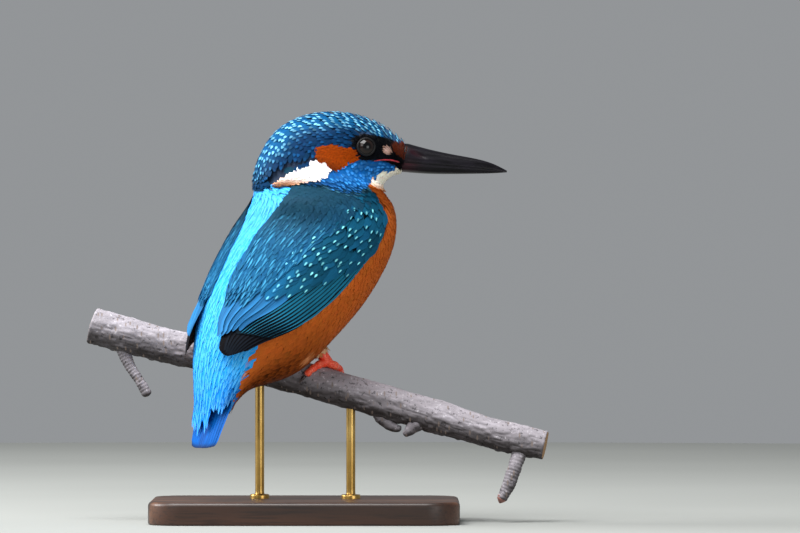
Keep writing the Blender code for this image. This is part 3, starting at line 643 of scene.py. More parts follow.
# The last azure on the next line is painted shade for the sides over the tail's root.
AZURE, AZURE_DEEP, AZURE_PALE, AZURE_PAINTED_SHADE = "#2498e6", "#1480e8", "#4aa8e6", "#0a54a2"
TEAL, SHOULDER_GREY = "#17475c", "#2a5468"
# The last colour on the next line is painted shade for the lower belly's underside.
BREAST, FLANK, BELLY_PAINTED_SHADE = "#c05e22", "#b85c22", "#3c1a06"


def heading(degrees):
    """The level direction at that angle from +X."""
    turn = np.radians(degrees)
    return np.array([np.cos(turn), np.sin(turn)])


def section_row(back, belly, half_width, turn, on_trunk):
    """One section as eight numbers: its back and belly points, half width and facing."""
    origin, degrees = (BODY_ORIGIN, BODY_HEADING) if on_trunk else (HEAD_ORIGIN, HEAD_HEADING)
    points = [[*(origin + forward * heading(degrees)), up] for forward, up in (back, belly)]
    return [*points[0], *points[1], half_width, turn]


SECTION_ROWS = np.array(
    [section_row(*row[1:], i < TRUNK_SECTIONS) for i, row in enumerate(SECTIONS)]
)
SECTION_ALONG = np.array([row[0] for row in SECTIONS])
TAIL_ROW = np.array(section_row(*TAIL_END, BODY_HEADING, True))


def form(along, angle):
    """Points on the bird's outline, at a distance along the spine and an angle in degrees
    from the back's midline towards its right side: the splined section's middle, plus the
    cosine's power of its height and the sine's power of its width. Below 0 the section runs
    straight to the tail's tip."""
    along, angle = np.broadcast_arrays(np.asarray(along, float), np.asarray(angle, float))
    found = spline(SECTION_ALONG, SECTION_ROWS, np.clip(along, 0, SECTION_ALONG[-1]))
    tailward = np.clip(-along / TAIL_LENGTH, 0, 1.3)[..., None]
    found = found + tailward * (TAIL_ROW - found)
    back, belly, half_width, turn = found[..., :3], found[..., 3:6], found[..., 6], found[..., 7]
    turn, angle = np.radians(turn), np.radians(angle)
    side = np.stack([np.sin(turn), -np.cos(turn), np.zeros_like(turn)], -1)
    up = np.sign(np.cos(angle)) * np.abs(np.cos(angle)) ** SECTION_POWER
    out = np.sign(np.sin(angle)) * np.abs(np.sin(angle)) ** SECTION_POWER
    middle, high = (back + belly) / 2, up[..., None] * (back - belly) / 2
    return middle + high + (out * half_width)[..., None] * side


def slopes(along, angle):
    """How the form's points move per millimetre of spine and per degree of angle."""
    low, high = np.minimum(along + 0.4, SECTION_ALONG[-1]), np.asarray(along) - 0.4
    ahead = (form(low, angle) - form(high, angle)) / (low - high)[..., None]
    across = form(along, np.asarray(angle) + 0.5) - form(along, np.asarray(angle) - 0.5)
    return ahead, across


def normal(along, angle):
    """Unit normals that point out of the form."""
    ahead, across = slopes(along, angle)
    return unit(np.cross(across, ahead))


SIDES = {"right": 1, "left": -1}  # the sign of an angle on that side
EYE_PLACE = {side: form(EYE_ALONG, sign * EYE_ANGLE) for side, sign in SIDES.items()}
EYE_AXIS = {side: normal(EYE_ALONG, sign * EYE_ANGLE) for side, sign in SIDES.items()}
EYE_CENTRE = {side: EYE_PLACE[side] - EYE_SUNK * EYE_AXIS[side] for side in SIDES}


def from_eye(along, angle):
    """Distance from the middle of the nearer eye, over the form's points."""
    points = form(along, angle)
    return np.minimum(*(np.linalg.norm(points - EYE_PLACE[side], axis=-1) for side in SIDES))


def inside(outline, along, angle):
    """Whether places lie inside an outline: an upward line from each crosses it an odd
    number of times."""
    found = np.zeros(np.broadcast(along, angle).shape, bool)
    for (a, b), (c, d) in zip(outline, outline[1:] + outline[:1]):
        spans = (a > along) != (c > along)
        crossing = b + (along - a) * (d - b) / (c - a if c != a else 1)
        found ^= spans & (angle < crossing)
    return found


def from_spot(spot, along, angle):
    """From 0 in the middle of a round marking to 1 on its edge, and on outside it."""
    return np.linalg.norm(form(along, angle) - form(*spot[:2]), axis=-1) / spot[2]


MARKINGS = "orange azure teal crown throat malar ear white black rufous spot"
REGIONS = {name: i for i, name in enumerate(MARKINGS.split())}


def from_back(angle):
    """How far around from the back's midline a place is on its own side, up to 180."""
    return np.abs((np.asarray(angle, float) + 180) % 360 - 180)


def region(along, angle):
    """The name of the marking at each place, as a number in REGIONS."""
    angle = from_back(angle)
    along = np.asarray(along, float) + 0 * angle
    found = np.full(angle.shape, REGIONS["orange"])
    edge = np.interp(along, *np.array(RUMP_EDGE).T)
    found[inside(SHOULDER, along, angle)] = REGIONS["teal"]
    found[(angle < edge) & (along < 97)] = REGIONS["azure"]
    found[along > np.interp(angle, *NECK_EDGE)] = REGIONS["crown"]
    for name, outline in (
        ("throat", THROAT),
        ("malar", MALAR_STRIPE),
        ("ear", EAR_COVERTS),
        ("white", WHITE_PATCH),
        ("black", EYE_BLACK),
    ):
        found[inside(outline, along, angle)] = REGIONS[name]
    found[from_eye(along, angle) < BLACK_ROUND_EYE] = REGIONS["black"]
    found[inside(LORE_RUFOUS, along, angle)] = REGIONS["rufous"]
    found[from_spot(LORE_SPOT, along, angle) < 1] = REGIONS["spot"]
    return found


def blend_colours(first, second, share):
    """Linear colours between two hex values, at shares from 0 to 1."""
    share = np.clip(np.asarray(share, float), 0, 1)[..., None]
    return linear(first) * (1 - share) + linear(second) * share


def shifted(colour, code, share):
    """Linear colours moved towards a hex value by a share."""
    return colour + (linear(code) - colour) * np.asarray(share)[..., None]


def dark_band(along, side):
    """From 0 on the crown to 1 in the darker band over the eye and the ear coverts."""
    edge = np.interp(along, *np.array(BAND_EDGE).T)
    return smooth(edge - 44, edge - 20, side)


def marking(along, angle):
    """The plumage's base colour at each place on the form, from its marking and soft shifts along
    and around the body, with painted shade on the lower belly's underside and on the azure's sides
    by the tail's root."""
    side = from_back(angle)
    along = np.asarray(along, float) + 0 * side
    number = region(along, angle)
    orange = blend_colours(BREAST, FLANK, smooth(60, 30, along) * smooth(150, 100, side))
    # Painted shade: the underside of the lower belly is darkened towards a near-black brown.
    orange = shifted(orange, BELLY_PAINTED_SHADE, smooth(48, 14, along) * smooth(75, 115, side))
    orange = shifted(orange, DOWN_PALE, smooth(1.0, 0.4, from_spot(THIGH_DOWN, along, side)))
    azure = blend_colours(AZURE_DEEP, AZURE, smooth(-4, 14, along))
    azure = shifted(azure, AZURE_PALE, smooth(30, 85, along) * 0.6)
    # Painted shade: the azure's sides by the tail's root are darkened towards a deep blue.
    azure = shifted(azure, AZURE_PAINTED_SHADE, smooth(12, 0, along) * smooth(45, 80, side))
    crown = blend_colours(CROWN_DEEP, CROWN_SIDE, dark_band(along, side))
    crown = shifted(crown, NAPE_DEEP, smooth(108, 97, along) * 0.8)
    colours = {
        "orange": orange,
        "azure": azure,
        "teal": blend_colours(TEAL, SHOULDER_GREY, smooth(80, 98, along)),
        "crown": crown,
        "throat": blend_colours(THROAT_CREAM, BUFF, smooth(106, 100, along)),
        "malar": blend_colours(MALAR_DARK, MALAR_BLUE, smooth(93, 104, along)),
        "ear": blend_colours(EAR_BROWN, EAR_ORANGE, smooth(105.5, 111, along)),
        "white": blend_colours(BUFF, WHITE, smooth(97.5, 103, along)),
        "black": linear(LORE_BLACK),
        "rufous": linear(LORE_BROWN),
        "spot": blend_colours(LORE_PALE, LORE_BROWNISH, from_spot(LORE_SPOT, along, side) ** 2.5),
    }
    found = np.zeros((*number.shape, 3))
    for name, colour in colours.items():
        found = np.where((number == REGIONS[name])[..., None], colour, found)
    return found


def from_branch(points):
    """Distances of points from the branch's line, and the branch's radius there."""
    x = np.clip(points[..., 0], BRANCH_X[0] + 1, BRANCH_X[-1] - 1)
    centre, _, up, far, radius = branch_line(x)
    offset = points - centre
    return np.hypot((offset * up).sum(-1), (offset * far).sum(-1)), radius


def clear_of_feet(points, inward):
    """Moves points inward, in small steps, while they lie in the room that the toes take up
    around the branch."""
    for _ in range(9):
        away, radius = from_branch(points)
        x = points[..., 0]
        begun = smooth(FEET_FROM, FEET_FROM + FEET_EASE, x)
        room = radius + TOE_ROOM * (begun - smooth(FEET_TO - FEET_EASE, FEET_TO, x))
        crowded = (away < room) & (x > FEET_FROM) & (x < FEET_TO)
        points = points + 0.5 * crowded[..., None] * inward
    return points


def skin_rings():
    """The form, moved in by the coat's depth along its normal and further where the eyes
    sit, in rings that lie closer on the head; they shrink to the tail's stub."""
    along = np.concatenate([np.linspace(1.0, 100, 63), np.linspace(100.6, 140.2, 84)])
    angle = np.linspace(0, 360, 160, endpoint=False)
    along, angle = np.meshgrid(along, angle, indexing="ij")
    depth = COAT_DEPTH_BODY + (COAT_DEPTH_HEAD - COAT_DEPTH_BODY) * smooth(96, 110, along)
    away = from_eye(along, angle)
    depth = depth + SOCKET_DEPTH * smooth(*SOCKET_EDGE, away)
    depth = depth - RIM_RAISED * smooth(4.6, 3.6, away) * smooth(2.9, 3.4, away)
    inward = -normal(along, angle)
    points = clear_of_feet(form(along, angle) + depth[..., None] * inward, inward)
    middle = points.mean(1, keepdims=True)
    shrink = smooth(-1.0, 7.0, along)[..., None] * 0.75 + 0.25
    return middle + (points - middle) * shrink, marking(along, angle)


FOOT_X = {"right": 5.4, "left": -8.6}
TOE_RADIUS, TOE_GAP, PAD_RAISED = 0.95, 0.3, 0.3
ANKLE, KNEE = (-1.9, -0.8, 3.6), (-5.2, -2.0, 8.6)  # from the sole's pad
PAD_RADIUS, ANKLE_RADIUS, KNEE_RADIUS = 1.7, 1.35, 1.6
# Each toe's start and end on the branch: distance from the foot along it, and angle around
# it from its top, with the far side positive.
TOES = {
    "hind": ((-0.6, -12.0), (-4.4, -72.0)),
    "inner": ((-0.2, 14.0), (1.6, 92.0)),
    "middle": ((1.6, 10.0), (5.0, 106.0)),
    "outer": ((2.8, 4.0), (7.6, 92.0)),
}
TOE_JOINTS, JOINT_SWELL, FLESHY = 3.2, 0.09, 1.42
FOOT_CORAL, FOOT_PALE, FOOT_DEEP = "#ff4420", "#ff8a66", "#e8401f"
LID_DARK, LID_SKIN = "#030304", "#060607"
LID_AROUND = 12  # points around the lid's bar
REMESH_SIZE = 0.24


def on_branch(x, degrees, height):
    """A point at that height over the bark, at an angle from the branch's top."""
    centre, _, up, far, radius = branch_line(x)
    turn = np.radians(degrees)
    return centre + (radius + height) * (np.cos(turn) * up + np.sin(turn) * far)


def foot_bars(side):
    """The leg's and the toes' bars: each toe runs around the branch, thickest at its joints
    by a cosine of its length, and thins towards its claw."""
    foot = FOOT_X[side]
    height = TOE_RADIUS + TOE_GAP
    pad = on_branch(foot, 0.0, height + PAD_RAISED)
    path = np.array([pad, pad + ANKLE, pad + KNEE])
    radii = (PAD_RADIUS, ANKLE_RADIUS, KNEE_RADIUS)
    path, radii, _ = resample(path, radii, 20)
    bars = [bar(path, FLESHY * np.array(radii), 20)]
    for (from_x, from_turn), (to_x, to_turn) in TOES.values():
        share = np.linspace(0, 1, 26)
        x = foot + from_x + (to_x - from_x) * share
        turn = from_turn + (to_turn - from_turn) * share
        swell = 1 + JOINT_SWELL * np.cos(2 * np.pi * TOE_JOINTS * share) - 0.2 * share
        path = np.array([on_branch(a, b, height) for a, b in zip(x, turn)])
        join = pad + (path[0] - pad) * np.linspace(0, 0.8, 4)[:, None]
        path = np.concatenate([join, path])
        radii = FLESHY * TOE_RADIUS * np.concatenate([np.full(4, 1.12), 1.1 * swell])
        bars.append(bar(path, radii, 20))
    return bars


def joined(bars):
    """Points and faces of several bars as one mesh, each numbered on from the last one."""
    points, faces, count = [], [[], []], 0
    for rings in bars:
        points.append(with_ends(rings))
        for kept, new in zip(faces, loft_faces(*rings.shape[:2])):
            kept.append(new + count)
        count += len(points[-1])
    return np.concatenate(points), [np.concatenate(group) for group in faces]


def lid_ring(side):
    """A thin bar around the part of the eyeball that shows, drawn out a little before and
    behind, so that the opening is a rounded almond."""
    turn = full_turn(64)
    axis = EYE_AXIS[side]
    ahead = unit(slopes(EYE_ALONG, SIDES[side] * EYE_ANGLE)[0])
    ahead = unit(ahead - (ahead @ axis) * axis)
    up = np.cross(axis, ahead)
    half = np.radians(LID_OPENING + 3.0 * np.cos(turn) ** 4 * (1 + 0.4 * np.cos(turn)))
    across = np.cos(turn)[:, None] * ahead + np.sin(turn)[:, None] * up
    out = np.cos(half)[:, None] * axis + np.sin(half)[:, None] * across
    path = EYE_CENTRE[side] + (EYE_RADIUS + 0.08) * out
    along = unit(np.roll(path, -1, 0) - np.roll(path, 1, 0))
    over = np.cross(along, out)
    circle = full_turn(LID_AROUND)[:, None, None]
    circle = np.cos(circle) * out + 1.25 * np.sin(circle) * over
    return np.moveaxis(path + LID_RADIUS * circle, 0, 1)


def remeshed(made):
    """Joins the crossing shells of a piece into one, over a fine lattice."""
    change = made.modifiers.new("join", "REMESH")
    change.mode = "VOXEL"
    change.voxel_size = REMESH_SIZE * MM
    change.use_smooth_shade = True
    soften = made.modifiers.new("soften", "SMOOTH")
    soften.iterations = 3
    soften.factor = 0.5
    apply_modifiers(made)


def apply_modifiers(made):
    """Puts the piece's modified mesh in place of its own."""
    seen = made.evaluated_get(bpy.context.evaluated_depsgraph_get())
    mesh = bpy.data.meshes.new_from_object(seen)
    made.modifiers.clear()
    made.data = mesh


def skin_finish():
    """Bird skin under the coat, in its plumage's own colours and quite matt, so that a gap
    between feathers hardly shows."""
    made, tree, shader = start_material("feathered skin", Roughness=0.8)
    base = add(tree, "Attribute", attribute_name="plumage")
    place = add(tree, "TexCoord").outputs["Object"]
    mottle = add(tree, "TexNoise", {"Vector": place, "Scale": per_mm(2.0), "Detail": 3.0})
    shade = add(tree, "MapRange", {0: mottle, 3: 0.55, 4: 0.95})
    colour = add(tree, "Mix", {0: 1.0, 6: base, 7: shade}, **TIMES)
    bump = add(tree, "Bump", {"Height": mottle, "Strength": 0.5, "Distance": 0.0003})
    wire(shader, Base_Color=colour, Normal=bump)
    return made


def foot_finish():
    """Coral leg skin, moist and waxy: small plates, clouded coral and pale, with deep red creases.
    """
    made, tree, shader = start_material("coral leg skin", Roughness=0.36, Subsurface_Weight=0.15)
    shader.inputs["Subsurface Radius"].default_value = (0.001, 0.0004, 0.0003)
    place = add(tree, "TexCoord").outputs["Object"]
    cells = {"Vector": place, "Scale": per_mm(0.85)}
    plates = add(tree, "TexVoronoi", cells, feature="DISTANCE_TO_EDGE")
    crease = add(tree, "MapRange", {0: plates, 1: 0.0, 2: 0.16, 3: 0.0, 4: 1.0})
    cloud = add(tree, "TexNoise", {"Vector": place, "Scale": per_mm(2.4), "Detail": 3.0})
    hue = add(tree, "ValToRGB", {"Fac": cloud}, ((0.35, FOOT_CORAL), (0.75, FOOT_PALE)))
    colour = add(tree, "Mix", {0: crease, 6: FOOT_DEEP, 7: hue}, **MIX)
    bump = add(tree, "Bump", {"Height": crease, "Strength": 0.5, "Distance": 0.00012})
    wire(shader, Base_Color=colour, Normal=bump)
    return made


def lid_finish():
    """Bare lid skin: black, soft and a little moist."""
    made, tree, shader = start_material("lid skin", Roughness=0.6, Specular_IOR_Level=0.25)
    place = add(tree, "TexCoord").outputs["Object"]
    grain = add(tree, "TexNoise", {"Vector": place, "Scale": per_mm(0.5), "Detail": 2.0})
    colour = add(tree, "ValToRGB", {"Fac": grain}, ((0.3, LID_DARK), (0.8, LID_SKIN)))
    bump = add(tree, "Bump", {"Height": grain, "Strength": 0.4, "Distance": 0.0001})
    wire(shader, Base_Color=colour, Normal=bump)
    return made


rings, colours = skin_rings()
colours = np.concatenate([colours, np.ones((*colours.shape[:2], 1))], -1)
skin = put_loft("skin", rings, skin_finish(), {"plumage": colours})
coral, lid_skin = foot_finish(), lid_finish()
parts = []
for side in SIDES:
    foot = put_mesh(f"foot_{side}", *joined(foot_bars(side)), coral)
    remeshed(foot)
    parts.append(foot)
    rings = lid_ring(side)
    sides = loft_faces(*rings.shape[:2])[0]
    here, last = np.arange(LID_AROUND), LID_AROUND * (len(rings) - 1)
    next_one = (here + 1) % LID_AROUND
    seam = np.stack([last + here, last + next_one, next_one, here], -1)
    parts.append(put_mesh(f"lid_{side}", rings, [np.concatenate([sides, seam])], lid_skin))
for finish in (coral, lid_skin):
    skin.data.materials.append(finish)
for part in parts:
    union = skin.modifiers.new("union", "BOOLEAN")
    union.operation = "UNION"
    union.solver = "EXACT"
    union.material_mode = "TRANSFER"
    union.object = part
apply_modifiers(skin)
for part in parts:
    bpy.data.objects.remove(part)
skin.data.shade_smooth()
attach(skin, "root")
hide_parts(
    "head", "neck", "trunk", "tail", "wing_left", "wing_right", "leg_left", "leg_right"
)


# ---------------------------------------------------------------- claws
# Eight curved claws of dark horn, one at the end of each toe, their points turned down on
# the bark.
CLAW_TURN, CLAW_START = 24.0, 8.5  # around the branch, from the toe's end
CLAW_HEIGHTS, CLAW_RADII = (1.05, 1.3, 1.25, 0.9, 0.35), (0.62, 0.55, 0.42, 0.26, 0.08)
CLAW_POINT = 0.06  # radius
CLAW_DARK, CLAW_PALE = "#140d0c", "#4a3430"


def claw_horn():
    """Horn, grown in thin layers and worn smooth: almost black with paler streaks along it
    and a satin shine."""
    made, tree, shader = start_material(
        "claw horn", IOR=1.54, Coat_Weight=0.15, Coat_Roughness=0.25
    )
    place = add(tree, "TexCoord").outputs["Object"]
    along = add(tree, "Mapping", {"Vector": place, "Scale": (0.07, 1, 1)})
    grain = add(tree, "TexNoise", {"Vector": along, "Scale": per_mm(1.0), "Detail": 4.0})
    colour = add(tree, "ValToRGB", {"Fac": grain}, ((0.35, CLAW_DARK), (0.8, CLAW_PALE)))
    shine = add(tree, "MapRange", {0: grain, 3: 0.29, 4: 0.47})
    bump = add(tree, "Bump", {"Height": grain, "Strength": 0.25, "Distance": 0.00008})
    wire(shader, Base_Color=colour, Roughness=shine, Normal=bump)
    return made


claw_bars = []
for side, foot in FOOT_X.items():
    for (from_x, from_turn), (to_x, to_turn) in TOES.values():
        sign = np.sign(to_turn - from_turn)
        slope = (to_x - from_x) / (to_turn - from_turn)
        turn = sign * (np.linspace(0, CLAW_TURN, 5) + CLAW_START)
        path = [
            on_branch(foot + to_x + slope * t, to_turn + t, height)
            for t, height in zip(turn, CLAW_HEIGHTS)
        ]
        path, radii, _ = resample(path, CLAW_RADII, 18)
        claw_bars.append(bar(path, np.maximum(radii, CLAW_POINT), 16))
claws = put_mesh("claws", *joined(claw_bars), claw_horn())
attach(claws, "root")
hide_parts(*(f"claw_{side}_{toe}" for side in FOOT_X for toe in TOES))


# ---------------------------------------------------------------- bill
# The bill is a long straight dagger of black horn in two halves that close on a fine line.
# The upper half is roof shaped with a slit nostril at its root, the lower one a trough.
BILL_ROOT, BILL_TIP = 37.0, 70.8
BILL_X = (37.0, 45.0, 54.4, 60.6, 66.9, 70.8)
CULMEN = (132.2, 130.2, 128.3, 127.1, 125.1, 123.0)
GAPE_LINE = (125.6, 125.0, 124.3, 123.8, 123.1, 122.7)
GONYS = (122.5, 121.9, 121.8, 121.9, 122.1, 122.4)
BILL_ROOT_SLANT, BILL_HALF_WIDTH, BILL_TIP_WIDTH = 0.265, 4.5, 0.25
BILL_SEAM = 0.015
NOSTRIL = (40.6, 0.52, 2.6, 0.55)  # x, share of the way up, half length, depth
BILL_BLACK, BILL_SHEEN, BILL_RED = "#050407", "#15111b", "#5e1c28"


def bill_half(upper):
    """Arcs across the bill between the gape line and its outer edge: the width is a cosine
    and the height a power of the sine, steeper on the roof and flatter on the trough. The
    cutting edges are drawn in a little, and the nostril is a soft slit on each side."""
    share = np.linspace(0, 1, 90) ** 0.92
    arc = np.radians(np.linspace(0, 180, 41))
    share, arc = np.meshgrid(share, arc, indexing="ij")
    x = BILL_ROOT - 3.0 + (BILL_TIP - BILL_ROOT + 3.0) * share
    run = np.clip((x - BILL_ROOT) / (BILL_TIP - BILL_ROOT), 0, 1)
    at = np.maximum(x, BILL_ROOT - 1)
    edge = spline(BILL_X, CULMEN if upper else GONYS, at)[..., 0]
    gape = spline(BILL_X, GAPE_LINE, at)[..., 0] + (BILL_SEAM if upper else -BILL_SEAM)
    half = BILL_HALF_WIDTH * (1 - run) ** 0.85 + BILL_TIP_WIDTH
    height = np.maximum(np.abs(edge - gape), BILL_TIP_WIDTH)
    lift = np.sin(arc) ** (1.3 if upper else 0.8)
    across = np.cos(arc) * (1 - 0.05 * np.exp(-((np.sin(arc) / 0.12) ** 2)))
    if upper:
        ridge = np.exp(-(((np.sin(arc) - 0.62) / 0.12) ** 2)) * smooth(0.0, 0.1, run) * (1 - run)
        across = across * (1 - 0.06 * ridge)
    slit_x, slit_lift, slit_half, slit_depth = NOSTRIL
    slit = ((lift - slit_lift + 0.04 * (x - slit_x)) / 0.1) ** 2
    slit = ((x - slit_x) / slit_half) ** 2 + slit
    across = across * (1 - (slit_depth / half) * np.exp(-(slit**1.5)) * upper)
    fine = lumps(np.stack([x * 0.12, across * half, lift * height], -1), 0.8, 21) * 0.03
    across = across * half + fine * np.sign(np.cos(arc))
    z = gape + (lift if upper else -lift) * height
    start = BILL_ROOT_SLANT * (z - CULMEN[0])
    forward = x + start * (1 - run) - HEAD_ORIGIN[0]
    along, side = heading(HEAD_HEADING), heading(HEAD_HEADING - 90)
    flat = HEAD_ORIGIN + forward[..., None] * along + across[..., None] * side
    points = np.concatenate([flat, z[..., None]], -1)
    floor = points[:, :1] + (points[:, -1:] - points[:, :1]) * np.linspace(0.95, 0.05, 12)[:, None]
    root = np.exp(-((run / 0.11) ** 2))
    red = root * (0.05 * np.exp(-((lift / 0.3) ** 2)) + (0.0 if upper else 0.14))
    red = red + upper * 0.2 * np.exp(-slit / 2) * root
    red = np.concatenate([red, np.repeat(red[:, :1], 12, 1)], 1)
    return np.concatenate([points, floor], 1), red.clip(0, 1)


def bill_finish():
    """Bill horn: smooth black keratin with a satin sheen that is faintly purple along its
    sides, fine streaks along it, and red skin showing through at the root of the gape."""
    made, tree, shader = start_material("bill horn", IOR=1.4, Specular_IOR_Level=0.24)
    place = add(tree, "TexCoord").outputs["Object"]
    along = add(tree, "Mapping", {"Vector": place, "Scale": (0.05, 1, 1)})
    streaks = {"Vector": along, "Scale": per_mm(1.1), "Detail": 5.0, "Roughness": 0.6}
    grain = add(tree, "TexNoise", streaks)
    stops = ((0.38, BILL_BLACK), (0.85, BILL_SHEEN))
    streaked = add(tree, "ValToRGB", {"Fac": grain}, stops)
    red = add(tree, "Attribute", attribute_name="red")
    colour = add(tree, "Mix", {0: red.outputs["Fac"], 6: streaked, 7: BILL_RED}, **MIX)
    shine = add(tree, "MapRange", {0: grain, 3: 0.26, 4: 0.46})
    bump = add(tree, "Bump", {"Height": grain, "Strength": 0.3, "Distance": 0.0001})
    wire(shader, Base_Color=colour, Roughness=shine, Normal=bump)
    return made


horn_of_bill = bill_finish()
for name, upper in (("bill_upper", True), ("bill_lower", False)):
    rings, red = bill_half(upper)
    half = put_loft(f"{name}_horn", rings, horn_of_bill, {"red": red}, sharp=55)
    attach(half, "root")
    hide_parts(name)


# ---------------------------------------------------------------- gape
# Behind the bill's root its cutting edge runs on as a thin fleshy lip, a muted red, to
# below the eye.
GAPE_PATH = (
    (120.5, 121.0), (124.0, 121.2), (128.0, 120.9), (132.0, 120.0), (135.0, 118.8), (137.0, 117.8),
)
GAPE_RADIUS = 0.26
GAPE_RED, GAPE_DARK = "#b0303a", "#6c1a24"


def lip_finish():
    """Lip skin at the gape: soft, a little moist, muted red with darker stretches."""
    made, tree, shader = start_material("gape skin", Roughness=0.5, Specular_IOR_Level=0.3)
    place = add(tree, "TexCoord").outputs["Object"]
    cloud = add(tree, "TexNoise", {"Vector": place, "Scale": per_mm(1.6), "Detail": 3.0})
    colour = add(tree, "ValToRGB", {"Fac": cloud}, ((0.35, GAPE_DARK), (0.65, GAPE_RED)))
    wire(shader, Base_Color=colour)
    return made


lips = []
for sign in SIDES.values():
    steps = np.linspace(0, len(GAPE_PATH) - 1, 50)
    along, angle = spline(np.arange(len(GAPE_PATH)), GAPE_PATH, steps).T
    path = form(along, sign * angle) + 0.1 * normal(along, sign * angle)
    lips.append(bar(path, GAPE_RADIUS * (0.35 + 0.65 * np.sin(np.linspace(0.1, 2.6, 50))), 14))
gape = put_mesh("gape_lips", *joined(lips), lip_finish())
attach(gape, "root")


# ---------------------------------------------------------------- eyes
# Each eye is a dark brown ball, so dark that iris and pupil hardly part, under a clear wet
# cornea that bulges a little.
IRIS_EDGE, PUPIL_EDGE = 38.0, 21.0  # degrees from the eye's axis
IRIS_BROWN, IRIS_RIM, PUPIL, EYE_WHITE = "#190c07", "#080504", "#020202", "#100b0a"


def eye_rings(side):
    """Circles about the eye's axis from pole to pole of a sphere, raised by a soft bulge of
    0.12 mm over the iris."""
    tilt = np.radians(np.concatenate([[0.4], np.linspace(3, 177, 59), [179.6]]))
    turn = full_turn(72)
    axis = EYE_AXIS[side]
    across = unit(np.cross(axis, (0, 0, 1.0)))
    other = np.cross(axis, across)
    radius = EYE_RADIUS + 0.12 * np.exp(-((np.degrees(tilt) / 30) ** 4))
    circle = np.cos(turn)[:, None] * across + np.sin(turn)[:, None] * other
    rings = EYE_CENTRE[side] + radius[:, None, None] * (
        np.cos(tilt)[:, None, None] * axis + np.sin(tilt)[:, None, None] * circle
    )
    return rings, np.degrees(tilt)[:, None] + 0 * turn


def eye_finish():
    """A wet eye: near-black pupil in a deep brown iris with fine rays, under a clear coat
    that mirrors the sky sharply."""
    made, tree, shader = start_material(
        "wet eye", Roughness=0.2, Specular_IOR_Level=0.0,
        Coat_Weight=1.0, Coat_IOR=1.38, Coat_Roughness=0.015,
    )
    tilt = add(tree, "Attribute", attribute_name="from_axis").outputs["Fac"]
    place = add(tree, "TexCoord").outputs["Object"]
    rays = add(tree, "TexNoise", {"Vector": place, "Scale": per_mm(0.7), "Detail": 4.0})
    shift = add(tree, "MapRange", {0: rays, 3: -2.5, 4: 2.5})
    uneven = add(tree, "Math", {0: tilt, 1: shift}, operation="ADD")
    share = add(tree, "Math", {0: uneven, 1: 90.0}, operation="DIVIDE")
    stops = (
        (0.0, PUPIL), (PUPIL_EDGE / 90, PUPIL),
        ((PUPIL_EDGE + 3) / 90, IRIS_BROWN), ((IRIS_EDGE - 4) / 90, IRIS_BROWN),
        (IRIS_EDGE / 90, IRIS_RIM), ((IRIS_EDGE + 12) / 90, EYE_WHITE),
    )
    colour = add(tree, "ValToRGB", {"Fac": share}, stops)
    wire(shader, Base_Color=colour)
    return made


wet_eye = eye_finish()
for side in SIDES:
    rings, tilt = eye_rings(side)
    eye = put_loft(f"eyeball_{side}", rings, wet_eye, {"from_axis": tilt})
    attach(eye, "root")
    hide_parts(f"eye_{side}")


# ---------------------------------------------------------------- breast and belly
# Soft short feathers in overlapping rows, attached to the skin at their roots and lying
# towards the tail. Each is a thin closed vane whose ragged tip hides the next one's root.
VANE_THICK = 0.045
BREAST_TIP = "#b3561c"
BARE_FROM, BARE_TO, BARE_ROOM = -18.0, 17.0, 2.3  # along the branch, and off it, by the toes
# The shares of its length where a vane's rows lie, and the number of its columns.
SMALL = ((0.0, 0.5, 0.75, 0.9, 1.0), 3)
SOFT = ((0.0, 0.35, 0.62, 0.82, 0.93, 1.0), 5)
# How far down the tail the tips may reach, by the angle from the back's midline.
ORANGE_ENDS = ((90, 110, 140, 180), (-1.0, -3.0, -5.0, -6.0))
# The folded wing's outline: places along the spine, and its two edges' angles there.
WING_TIP, WING_BEND = 17.0, 95.5
WING_LENGTH = WING_BEND - WING_TIP
WING_ALONG = (17, 26, 36, 48, 66, 81, 88, 95.5)
WING_UPPER_EDGE = (28, 14, 10, 8, 9, 16, 28, 46)
WING_LOWER_EDGE = (50, 64, 82, 92, 100, 113, 119, 122)


def staggered(low, high, step_along, step_around, seed, jitter=0.22):
    """Roots in rows a step apart along the spine. In a row they stand one step apart around
    the section, measured over its outline, and every other row is shifted by half a step.
    Where the rows crowd, inside the neck's bend, fewer are kept."""
    rng = np.random.default_rng(seed)
    angles = np.linspace(-180, 180, 361)
    found = []
    for i, along in enumerate(np.arange(low, high, step_along)):
        arc = path_lengths(form(np.full_like(angles, along), angles))
        count = max(int(arc[-1] / step_around), 6)
        places = np.arange(count) + 0.5 * (i % 2) + rng.uniform(-jitter, jitter, count)
        angle = np.interp(places / count % 1.0 * arc[-1], arc, angles)
        row = along + rng.uniform(-jitter, jitter, count) * step_along
        found.append(np.column_stack([row, angle]))
    found = np.concatenate(found)
    room = np.linalg.norm(slopes(*found.T)[0], axis=-1)
    return found[rng.uniform(0, 1, len(found)) < 2 * room]


def shafts(roots, length, yaw, steps):
    """Each vane's middle line: from its root towards the tail, turned by the yaw, at shares
    of its length, as places along the spine and around it."""
    along, angle = [roots[:, 0]], [roots[:, 1]]
    yaw = np.radians(yaw)
    for run in np.diff(steps):
        ahead, across = slopes(along[-1], angle[-1])
        per_along, per_degree = (np.linalg.norm(v, axis=-1) for v in (ahead, across))
        along.append(along[-1] - run * length * np.cos(yaw) / np.maximum(per_along, 0.25))
        angle.append(angle[-1] + run * length * np.sin(yaw) / np.maximum(per_degree, 0.03))
    return np.stack(along, 1), np.stack(angle, 1)


